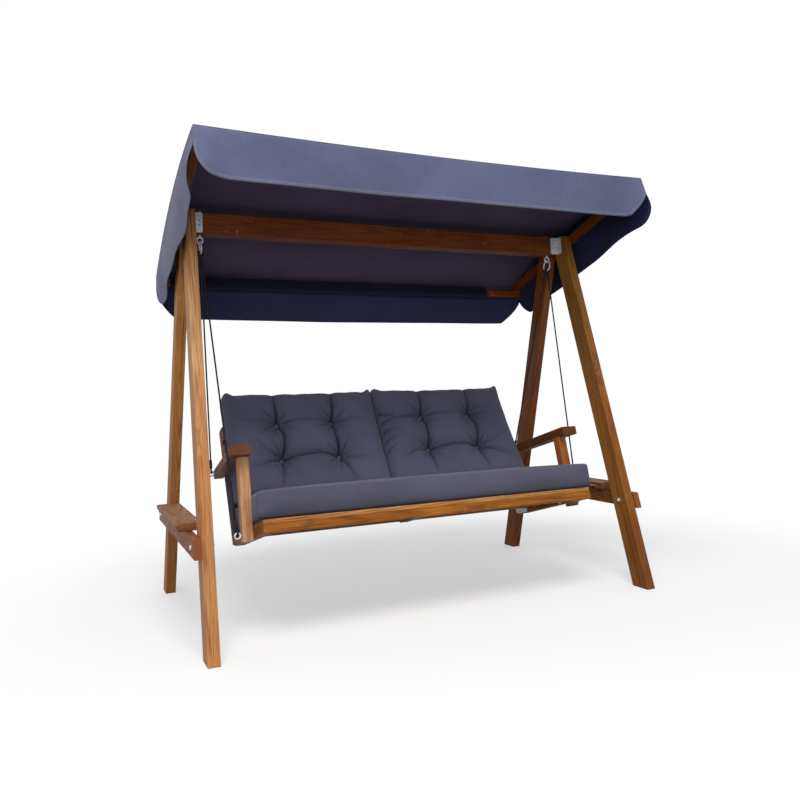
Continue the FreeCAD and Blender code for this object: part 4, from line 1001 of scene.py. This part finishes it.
def make_stitch_tree():
    """Short thread stitches along every polyline of the input."""
    sizes = [("Pitch", "Float"), ("Length", "Float"), ("Thread", "Float"), ("Finish", "Material")]
    tree, entry, leave, handles = geometry_tree("sewn_stitches", sizes)
    line = put(tree, "GeometryNodeMeshToCurve", Mesh=entry["Geometry"])
    spots = put(tree, "GeometryNodeCurveToPoints", {"mode": "LENGTH"}, Curve=line.outputs[0],
                Length=entry["Pitch"]).outputs
    bead = put(tree, "GeometryNodeMeshIcoSphere", Radius=1.0, Subdivisions=1)
    half = times(tree, entry["Length"], 0.5)
    size = put(tree, "CombineXYZ", X=entry["Thread"], Y=entry["Thread"], Z=half)
    lay_out(tree, entry, leave, spots["Points"], bead, spots["Rotation"], size)
    return tree, handles


def make_button_tree():
    """Cloth-covered domed buttons, one on each input point, all facing one way."""
    sizes = [("Radius", "Float"), ("Height", "Float"), ("Facing", "Vector"), ("Finish", "Material")]
    tree, entry, leave, handles = geometry_tree("covered_buttons", sizes)
    ball = put(tree, "GeometryNodeMeshUVSphere", Segments=20, Rings=10, Radius=1.0)
    size = put(tree, "CombineXYZ", X=entry["Radius"], Y=entry["Radius"], Z=entry["Height"])
    spots = put(tree, "GeometryNodeMeshToPoints", Mesh=entry["Geometry"])
    lay_out(tree, entry, leave, spots.outputs[0], ball, entry["Facing"], size)
    return tree, handles


def grow(name, points, edges, tree, handles, **sizes):
    """Run a geometry tree on plain points or lines and keep the result as a plain mesh."""
    mesh = bpy.data.meshes.new(name)
    mesh.from_pydata([tuple(p) for p in points], edges, [])
    piece = linked(name, mesh)
    modifier = piece.modifiers.new(tree.name, "NODES")
    modifier.node_group = tree
    for label, value in sizes.items():
        modifier[handles[label]] = value
    return settle(piece)


def make_stitches(name, lines, body, slot, **sizes):
    points, edges = [], []
    for line in lines:
        first = len(points)
        points.extend(line)
        edges.extend((first + i, first + i + 1) for i in range(len(line) - 1))
    piece = grow(name, points, edges, *stitch_tree, Finish=sewing_thread, **sizes)
    return declare(piece, body, slot)


stitch_tree = make_stitch_tree()
button_tree = make_button_tree()


# Cushions
FILL_FRAMES = 20
# Pressure of the filling, and the farthest it may move the cloth
SEAT_FILL, BACK_FILL = (3.0, 0.012), (4.5, 0.022)


def plump(piece, held, pressure, cap):
    """Fill a cushion by cloth simulation; `held` weighs the vertices that stay where they are sewn."""
    rest = np.array([v.co for v in piece.data.vertices])
    group = piece.vertex_groups.new(name="sewn")
    for i, weight in enumerate(held):
        if weight > 0.01:
            group.add([i], float(weight), "REPLACE")
    cloth = piece.modifiers.new("filling", "CLOTH")
    settings = {"quality": 6, "mass": 0.25, "tension_stiffness": 18, "compression_stiffness": 18,
                "shear_stiffness": 6, "bending_stiffness": 0.6, "vertex_group_mass": "sewn",
                "use_pressure": True, "uniform_pressure_force": pressure}
    for name, value in settings.items():
        setattr(cloth.settings, name, value)
    cloth.settings.effector_weights.gravity = 0
    cloth.collision_settings.use_collision = False
    cloth.point_cache.frame_start, cloth.point_cache.frame_end = 1, FILL_FRAMES
    for moment in range(1, FILL_FRAMES + 1):
        scene.frame_set(moment)
    graph = bpy.context.evaluated_depsgraph_get()
    filled = np.array([v.co for v in piece.evaluated_get(graph).data.vertices])
    move = filled - rest
    length = np.linalg.norm(move, axis=1)
    move *= np.minimum(1, cap / np.maximum(length, 1e-9))[:, None]
    piece.modifiers.clear()
    piece.vertex_groups.clear()
    piece.data.vertices.foreach_set("co", (rest + move).astype(np.float32).ravel())
    scene.frame_set(1)


def box_skin(counts):
    """Points and faces of a unit box skin divided evenly along each side."""
    work = bmesh.new()
    for axis in range(3):
        u, v = [k for k in range(3) if k != axis]
        for level in (0.0, 1.0):
            rows = []
            for i in range(counts[u] + 1):
                row = []
                for j in range(counts[v] + 1):
                    place = [0.0, 0.0, 0.0]
                    place[axis], place[u], place[v] = level, i / counts[u], j / counts[v]
                    row.append(work.verts.new(place))
                rows.append(row)
            for i in range(counts[u]):
                for j in range(counts[v]):
                    work.faces.new((rows[i][j], rows[i + 1][j], rows[i + 1][j + 1], rows[i][j + 1]))
    bmesh.ops.remove_doubles(work, verts=work.verts, dist=1e-5)
    bmesh.ops.recalc_face_normals(work, faces=work.faces)
    work.verts.index_update()
    points = np.array([v.co for v in work.verts])
    faces = [tuple(v.index for v in face.verts) for face in work.faces]
    work.free()
    return points, faces


def rounded_box(counts, size, radius):
    """A box skin with rounded edges: shares of the box, places from its low corner, and faces."""
    unit, faces = box_skin(counts)
    size = np.array(size)
    place = unit * size
    core = np.clip(place, radius, size - radius)
    reach = place - core
    length = np.linalg.norm(reach, axis=1)
    return unit, core + reach / length[:, None] * radius, faces


def local_points(piece, into_local):
    return np.array([into_local(v.co) for v in piece.data.vertices])


def move_points(piece, out_of_local, local):
    for vertex, place in zip(piece.data.vertices, local):
        vertex.co = out_of_local(*place)
    piece.data.update()


def make_seat_cushion():
    """Boxed seat pad: full in front of the posts and squeezed between them."""
    deep = SEAT_CUSHION_REAR - SEAT_CUSHION_FRONT
    size = (2 * SEAT_CUSHION_HALF, deep, SEAT_CUSHION_THICK)
    unit, place, faces = rounded_box((128, 46, 10), size, SEAT_CUSHION_ROUND)
    share = unit * 2 - 1
    x = place[:, 0] - SEAT_CUSHION_HALF
    b = place[:, 1] + SEAT_CUSHION_FRONT
    u = place[:, 2] + SLAT_TOP + CLEAR
    u += SEAT_CROWN * (1 - share[:, 0] ** 6) * (1 - share[:, 1] ** 4) * unit[:, 2] ** 2
    spread = 0.022 * smooth((0.150 - b) / 0.05) + 0.003 * smooth((b - 0.215) / 0.05)
    x += np.sign(x) * spread * np.abs(share[:, 0]) ** 9
    at_front = smooth(1 - unit[:, 1] * 9)
    b += at_front * SEAT_TUCK * smooth(1 - unit[:, 2] / 0.24)
    ripple = 0.0018 * np.sin(17 * x + 1.0) * (1 - share[:, 2] ** 2)
    b += at_front * (0.005 * (1 - share[:, 0] ** 2) + ripple)
    # The seat's cloth is the darker copy of the navy cloth: painted shade
    cushion = new_piece("seat_cushion_cover", [in_seat(*p) for p in zip(x, b, u)], faces, cushion_cloth)
    edges = (np.abs(share) > 0.995).sum(axis=1) >= 2
    between_posts = (np.abs(share[:, 0]) > 0.97) & (b > POST_FROM) & (b < POST_TO)
    held = np.where((unit[:, 2] < 0.01) | between_posts, 1.0, np.where(edges, 0.4, 0.0))
    plump(cushion, held, *SEAT_FILL)
    local = local_points(cushion, seat_local)
    local[:, 2] = np.maximum(local[:, 2], SLAT_TOP + 0.0004)
    local[:, 1] = np.minimum(local[:, 1], SEAT_CUSHION_REAR + REAR_ROOM)
    post = (local[:, 1] > POST_FROM) & (local[:, 1] < POST_TO)
    room = SEAT_CUSHION_HALF + np.where(post, POST_ROOM, SIDE_ROOM)
    local[:, 0] = np.clip(local[:, 0], -room, room)
    join = 0.0028 * np.exp(-((local[:, 0] - 0.02) / 0.010) ** 2)
    local[:, 1] += join * at_front * (1 - np.abs(share[:, 2]) ** 3)
    move_points(cushion, in_seat, local)
    box_flat(cushion, local)
    # Painted shade in a band round the foot of the pad, just above the slats
    mark_fold_shade(cushion, smooth(1 - (local[:, 2] - SLAT_TOP) / SEAM_SHADE))
    refine(cushion)
    declare(cushion, "seat", "cushion_cloth", "seat_cushion")


def box_flat(piece, local):
    """Flat cloth coordinates of a boxed cushion: each panel unrolled on its own plane."""
    layer = piece.data.uv_layers.new(name="flat")
    for polygon in piece.data.polygons:
        corners = local[list(polygon.vertices)]
        normal = np.cross(corners[1] - corners[0], corners[2] - corners[0])
        axis = int(np.argmax(np.abs(normal)))
        u, v = [k for k in range(3) if k != axis]
        for loop, p in zip(polygon.loop_indices, corners):
            layer.data[loop].uv = (p[u], p[v])


def nearest(points, line):
    """Distance of flat points from a polyline, and how far along it the nearest place is."""
    best = np.full(len(points), 1e9)
    where = np.zeros(len(points))
    line = np.array(line)
    for i in range(len(line) - 1):
        a, b = line[i], line[i + 1]
        run = b - a
        t = np.clip(((points - a) @ run) / (run @ run), 0, 1)
        gap = np.linalg.norm(points - (a + t[:, None] * run), axis=1)
        closer = gap < best
        best = np.where(closer, gap, best)
        where = np.where(closer, (i + t) / (len(line) - 1), where)
    return best, where


# Tufts and creases of the two back cushions, as places across and up from each cushion's middle line.
# Each crease has its line, its depth and its width
TUFTS = {"left": [(-0.138, 0.489), (0.139, 0.487), (-0.141, 0.299), (0.144, 0.300)],
         "right": [(-0.132, 0.496), (0.150, 0.495), (-0.140, 0.306), (0.146, 0.303)]}
TUFT_DEEP, TUFT_REACH = 0.048, 0.050
FAN_DEEP, FAN_REACH = 0.0075, 0.070
CREASES = {
    "left": [
        ([(-0.142, 0.655), (-0.140, 0.575), (-0.138, 0.489)], 0.017, 0.010),
        ([(-0.138, 0.489), (-0.121, 0.440), (-0.118, 0.400), (-0.127, 0.350), (-0.141, 0.299)],
         0.018, 0.009),
        ([(-0.141, 0.299), (-0.150, 0.235), (-0.157, 0.160)], 0.014, 0.010),
        ([(0.158, 0.655), (0.150, 0.570), (0.139, 0.487)], 0.017, 0.010),
        ([(0.139, 0.487), (0.136, 0.440), (0.142, 0.386), (0.144, 0.300)], 0.018, 0.009),
        ([(0.144, 0.300), (0.166, 0.240), (0.195, 0.165)], 0.014, 0.010),
        ([(-0.141, 0.299), (-0.058, 0.308), (0.043, 0.318), (0.144, 0.300)], 0.016, 0.008),
        ([(-0.138, 0.489), (0.000, 0.500), (0.139, 0.487)], 0.007, 0.012),
        ([(-0.141, 0.299), (-0.215, 0.276), (-0.290, 0.255)], 0.010, 0.008),
        ([(-0.141, 0.299), (-0.205, 0.345), (-0.262, 0.402)], 0.008, 0.008),
        ([(0.144, 0.300), (0.230, 0.285), (0.310, 0.262)], 0.008, 0.009),
        ([(-0.138, 0.489), (-0.230, 0.505), (-0.320, 0.500)], 0.006, 0.010),
        ([(0.139, 0.487), (0.230, 0.500), (0.315, 0.478)], 0.007, 0.010),
    ],
    "right": [
        ([(-0.118, 0.655), (-0.124, 0.570), (-0.132, 0.496)], 0.016, 0.010),
        ([(-0.132, 0.496), (-0.128, 0.430), (-0.132, 0.370), (-0.140, 0.306)], 0.017, 0.009),
        ([(-0.140, 0.306), (-0.146, 0.240), (-0.140, 0.165)], 0.013, 0.010),
        ([(0.165, 0.655), (0.158, 0.570), (0.150, 0.495)], 0.016, 0.010),
        ([(0.150, 0.495), (0.160, 0.430), (0.157, 0.365), (0.146, 0.303)], 0.017, 0.009),
        ([(0.146, 0.303), (0.150, 0.235), (0.162, 0.165)], 0.013, 0.010),
        ([(-0.140, 0.306), (-0.040, 0.312), (0.050, 0.318), (0.146, 0.303)], 0.013, 0.009),
        ([(-0.132, 0.496), (0.010, 0.506), (0.150, 0.495)], 0.007, 0.012),
        ([(0.146, 0.303), (0.235, 0.262), (0.335, 0.215)], 0.011, 0.008),
        ([(0.146, 0.303), (0.240, 0.325), (0.320, 0.375)], 0.007, 0.009),
        ([(-0.140, 0.306), (-0.230, 0.290), (-0.315, 0.250)], 0.009, 0.009),
        ([(-0.132, 0.496), (-0.235, 0.492), (-0.345, 0.486)], 0.011, 0.009),
        ([(-0.378, 0.520), (-0.335, 0.508), (-0.285, 0.505)], 0.013, 0.008),
        ([(-0.378, 0.462), (-0.345, 0.474), (-0.305, 0.478)], 0.012, 0.007),
        ([(-0.378, 0.405), (-0.345, 0.420), (-0.310, 0.426)], 0.012, 0.007),
        ([(-0.378, 0.352), (-0.348, 0.372), (-0.312, 0.384)], 0.011, 0.007),
        ([(-0.378, 0.300), (-0.350, 0.322), (-0.320, 0.334)], 0.010, 0.007),
    ],
}


def crease_fade(line, along, tufts):
    """How strongly a crease presses along its length: fully at the tufts, less at a free end."""
    if line[-1] not in tufts:
        return 1 - 0.75 * along ** 1.5
    if line[0] not in tufts:
        return 0.5 + 0.5 * along
    return 1 - 0.25 * np.sin(math.pi * along) ** 2


def creases_near(plane, side_name):
    """For each crease: how far flat places lie from it, how deep it presses beside them, and its width."""
    for line, depth, width in CREASES[side_name]:
        gap, along = nearest(plane, line)
        yield gap, depth * crease_fade(line, along, TUFTS[side_name]), width


def pull_in(plane, side_name):
    """How far sewing draws the cushion's face in at flat places, and where the thread holds it."""
    drawn, held = np.zeros(len(plane)), np.zeros(len(plane))
    for gap, press, _ in creases_near(plane, side_name):
        drawn = np.maximum(drawn, 1.1 * press * np.exp(-(gap / 0.038) ** 1.3))
        held = np.maximum(held, 50 * press * np.exp(-(gap / 0.009) ** 2))
    for x, up in TUFTS[side_name]:
        gap = np.hypot(plane[:, 0] - x, plane[:, 1] - up)
        drawn = np.maximum(drawn, TUFT_DEEP * np.exp(-(gap / TUFT_REACH) ** 1.3))
        held = np.maximum(held, np.exp(-(gap / 0.018) ** 2))
    return drawn, np.minimum(held, 1.0)


def fold_in(plane, side_name):
    """How deep the creases and wrinkles press at flat places after filling, and how much painted shade lies
    in and round them.
    """
    crease, fold_shade = np.zeros(len(plane)), np.zeros(len(plane))
    for gap, press, width in creases_near(plane, side_name):
        crease = np.maximum(crease, press * np.exp(-(gap / (0.9 * width)) ** 1.3))
        # Painted shade along each crease, and a broad painted shade beside it
        fold_shade = np.maximum(fold_shade, press / 0.015 * np.exp(-(gap / (0.62 * width)) ** 1.8))
        fold_shade = np.maximum(fold_shade, 22 * press * np.exp(-(gap / 0.034) ** 1.2))
    x, y = plane[:, 0], plane[:, 1]
    wrinkle = 0.0013 * np.sin(58 * x + 34 * y) * np.sin(21 * y - 12 * x)
    for k, (tuft_x, tuft_y) in enumerate(TUFTS[side_name]):
        aside, rise = x - tuft_x, y - tuft_y
        gap = np.hypot(aside, rise)
        angle = np.arctan2(rise, aside)
        fan = np.maximum(0, np.sin(9 * angle + 1.7 * k)) ** 2
        fan += 0.7 * np.maximum(0, np.sin(14 * angle + 2.3 * k)) ** 3
        reach = np.exp(-(gap / FAN_REACH) ** 2) * (1 - np.exp(-(gap / 0.016) ** 2))
        wrinkle += FAN_DEEP * fan * reach
        # Painted shade in the fan wrinkles, in each tuft's pit and in a broad ring round it
        fold_shade = np.maximum(fold_shade, 0.7 * fan * reach)
        fold_shade = np.maximum(fold_shade, np.exp(-(gap / 0.017) ** 2))
        fold_shade = np.maximum(fold_shade, 0.5 * np.exp(-(gap / TUFT_REACH) ** 1.2))
    return crease + wrinkle, np.clip(fold_shade, 0, 1)


def make_back_cushion(side_name, sign):
    """Tufted back pad with soft boxed sides."""
    half, tall = BACK_CUSHION_WIDE / 2, BACK_CUSHION_TALL
    size = (2 * half, tall, BACK_CUSHION_THICK)
    unit, place, faces = rounded_box((104, 78, 14), size, BACK_CUSHION_ROUND)
    share = unit * 2 - 1
    middle = sign * BACK_CUSHION_MIDDLE
    depth = place[:, 2]
    bottom = BACK_FOOT - BACK_FOOT_SLOPE * depth + 0.004 * (1 - share[:, 0] ** 2)
    ears = 0.005 * np.exp(-((1 - np.abs(share[:, 0])) / 0.07) ** 2)
    top = BACK_CUSHION_TOP + BACK_TOP_SLOPE * depth - 0.012 * (1 - share[:, 0] ** 2) + ears
    up = bottom + (top - bottom) * place[:, 1] / tall
    side_bulge = 0.007 * (1 - share[:, 2] ** 2) - 0.008 * (1 - share[:, 1] ** 2) * unit[:, 2]
    across = place[:, 0] - half + np.sign(share[:, 0]) * np.abs(share[:, 0]) ** 7 * side_bulge
    drawn, sewn = pull_in(np.stack([across, up], axis=1), side_name)
    facing = smooth((unit[:, 2] - 0.30) / 0.55)
    belly = BACK_BELLY * (1 - share[:, 0] ** 4) * (1 - share[:, 1] ** 4)
    depth = depth + facing * (belly - drawn)
    points = [in_back(middle + x, -d, z) for x, d, z in zip(across, depth, up)]
    cushion = new_piece(f"{side_name}_back_cushion_cover", points, faces, tufted_cloth)
    held = np.where(unit[:, 2] < 0.01, 1.0, np.where(facing > 0.5, sewn, 0.0))
    plump(cushion, held, *BACK_FILL)
    box_flat(cushion, local_points(cushion, back_local))
    refine(cushion)
    press_folds(cushion, side_name, middle)
    local = local_points(cushion, back_local)
    local[:, 1] = np.minimum(local[:, 1], -CLEAR)
    local[:, 0] = sign * np.clip(sign * local[:, 0], CLEAR, ARMREST_INNER)
    local[:, 2] = np.maximum(local[:, 2], BACK_FOOT + BACK_FOOT_SLOPE * local[:, 1])
    move_points(cushion, in_back, local)
    declare(cushion, "seat", "cushion_cloth", f"{side_name}_back_cushion")
    return cushion


def mark_fold_shade(cushion, fold_shade):
    """Keep the painted shade on each point, from 0 to 1, as the cushion's own attribute."""
    mark = cushion.data.attributes.new("fold_shade", "FLOAT", "POINT")
    mark.data.foreach_set("value", np.asarray(fold_shade, np.float32))


def press_folds(cushion, side_name, middle):
    """Press the creases into a filled cushion's face and mark the painted shade in and round its folds."""
    mesh = cushion.data
    local = local_points(cushion, back_local)
    normals = np.array([v.normal for v in mesh.vertices])
    facing = smooth((normals @ np.array(OUT_OF_BACK) - 0.05) / 0.6)
    facing *= smooth((-local[:, 1] - 0.03) / 0.04)
    depth, fold_shade = fold_in(np.stack([local[:, 0] - middle, local[:, 2]], axis=1), side_name)
    places = np.array([v.co for v in mesh.vertices]) - normals * (facing * depth)[:, None]
    mesh.vertices.foreach_set("co", places.astype(np.float32).ravel())
    mark_fold_shade(cushion, facing * fold_shade)
    mesh.update()


def make_cushion_tie(side_name, sign):
    """Strip of cloth that hangs from the back pad down the outer side of the back's foot; its dark colour
    is painted shade.
    """
    rows, columns, long = 33, 9, TIE_TOP - TIE_FOOT

    def place(i, j):
        share = i / (rows - 1)
        wide = TIE_WIDE + (TIE_NARROW - TIE_WIDE) * share
        b = TIE_FRONT - TIE_SLANT * share + wide * j / (columns - 1)
        u = TIE_TOP - long * share
        ripple = 0.003 * share * (1 + math.sin(60 * b + 5 * share))
        return in_seat(sign * (TIE_BESIDE + ripple), b, u), (b, u)
    tie = thicken(cloth_grid(f"{side_name}_cushion_tie", rows, columns, place, tie_cloth), CLOTH_THICK)
    declare(tie, "seat", "cushion_cloth")


def make_buttons(cushions):
    """Covered buttons pulled down into the tufts."""
    spots = []
    graph = bpy.context.evaluated_depsgraph_get()
    for side_name, sign in SIDES:
        cushion = cushions[side_name]
        for x, up in TUFTS[side_name]:
            across = sign * BACK_CUSHION_MIDDLE + x
            start = in_back(across, -0.3, up)
            found, place, _, _ = cushion.ray_cast(start, -OUT_OF_BACK, depsgraph=graph)
            if not found:
                place = in_back(across, -0.066, up)
            spots.append(place + OUT_OF_BACK * BUTTON_LIFT)
    turn = OUT_OF_BACK.to_track_quat("Z", "Y").to_euler()
    buttons = grow("tuft_covered_buttons", spots, [], *button_tree, Radius=BUTTON_RADIUS,
                   Height=BUTTON_HIGH, Facing=turn, Finish=button_cloth)
    declare(buttons, "seat", "cushion_cloth", "tuft_buttons")


# Studio
def make_floor():
    """Pale floor that keeps the soft shadow near the feet and clears to white farther off."""
    finish, tree, shader = new_finish("studio_floor", Base_Color=(0.30, 0.30, 0.30, 1), Roughness=1.0,
                                      Specular_IOR_Level=0.0)
    pale = put(tree, "BsdfDiffuse", Color=(0.86, 0.86, 0.86, 1))
    glow = put(tree, "Emission", Color=(1, 1, 1, 1), Strength=1.0)
    where = object_place(tree)
    aside = put(tree, "VectorMath", {"operation": "SUBTRACT"}, in0=where, in1=(0.35, 0.0, 0.0)).outputs[0]
    reach = put(tree, "VectorMath", {"operation": "LENGTH"}, in0=aside).outputs["Value"]
    lit = put(tree, "MixShader", in0=ramp(tree, reach, 1.2, 2.6, 0.45, 1.0), in1=pale.outputs[0],
              in2=glow.outputs[0])
    seen = put(tree, "MixShader", in0=seen_directly(tree), in1=shader.outputs[0], in2=lit.outputs[0])
    tree.links.new(seen.outputs[0], tree.nodes["Material Output"].inputs["Surface"])
    size = 30.0
    corners = [(-size, -size, 0), (size, -size, 0), (size, size, 0), (-size, size, 0)]
    new_piece("studio_floor", corners, [(0, 1, 2, 3)], finish)


def seen_directly(tree):
    """1 where the camera sees a surface, also by mirror or glass, and 0 for other light paths."""
    path = put(tree, "LightPath").outputs
    either = calculate(tree, "MAXIMUM", path["Is Camera Ray"], path["Is Glossy Ray"])
    return calculate(tree, "MAXIMUM", either, path["Is Transmission Ray"])


LAMPS_FACE = Vector((0, 0, 0.9))


def make_light():
    """White surroundings that light softly, a key lamp from above and a fill lamp from the front."""
    world = bpy.data.worlds.new("studio")
    scene.world = world
    world.use_nodes = True
    tree = world.node_tree
    soft = tree.nodes["Background"]
    soft.inputs["Color"].default_value = (0.93, 0.96, 1.0, 1)
    soft.inputs["Strength"].default_value = 0.56
    white = put(tree, "Background", Color=(1, 1, 1, 1), Strength=1.0)
    mix = put(tree, "MixShader", in0=seen_directly(tree), in1=soft.outputs[0], in2=white.outputs[0])
    tree.links.new(mix.outputs[0], tree.nodes["World Output"].inputs["Surface"])
    # Name, place, size, power and colour
    lamps = (("key", (-1.5, -3.2, 6.9), 3.4, 370.0, (1.0, 0.98, 0.95)),
             ("fill", (-2.3, -5.4, 2.0), 2.4, 95.0, (1.0, 0.97, 0.93)))
    for name, place, size, power, colour in lamps:
        data = bpy.data.lights.new(name, "AREA")
        data.size, data.energy, data.color = size, power, colour
        lamp = linked(name, data)
        lamp.location = place
        lamp.rotation_euler = (LAMPS_FACE - Vector(place)).to_track_quat("-Z", "Y").to_euler()


def make_canopy():
    make_roof()
    flaps = [end_flap("front", ROOF_FRONT, -1, FRONT_DEEP, FRONT_CORNERS),
             end_flap("rear", ROOF_REAR, 1, REAR_DEEP, REAR_CORNERS)]
    flaps += [side_flap(side_name, sign) for side_name, sign in SIDES]
    lines = [flap.make() for flap in flaps]
    make_edge_piping()
    make_batten_sleeve()
    make_stitches("canopy_hem_stitches", lines, "canopy", "canopy_cloth",
                  Pitch=0.007, Length=0.0052, Thread=0.0007)


make_camera()
for side_name, sign in SIDES:
    for end in ("front", "rear"):
        make_rope(side_name, sign, end)
finish_cad_nodes()
make_canopy()
make_seat_cushion()
covers = {side_name: make_back_cushion(side_name, sign) for side_name, sign in SIDES}
make_buttons(covers)
for side_name, sign in SIDES:
    make_cushion_tie(side_name, sign)
make_floor()
make_light()
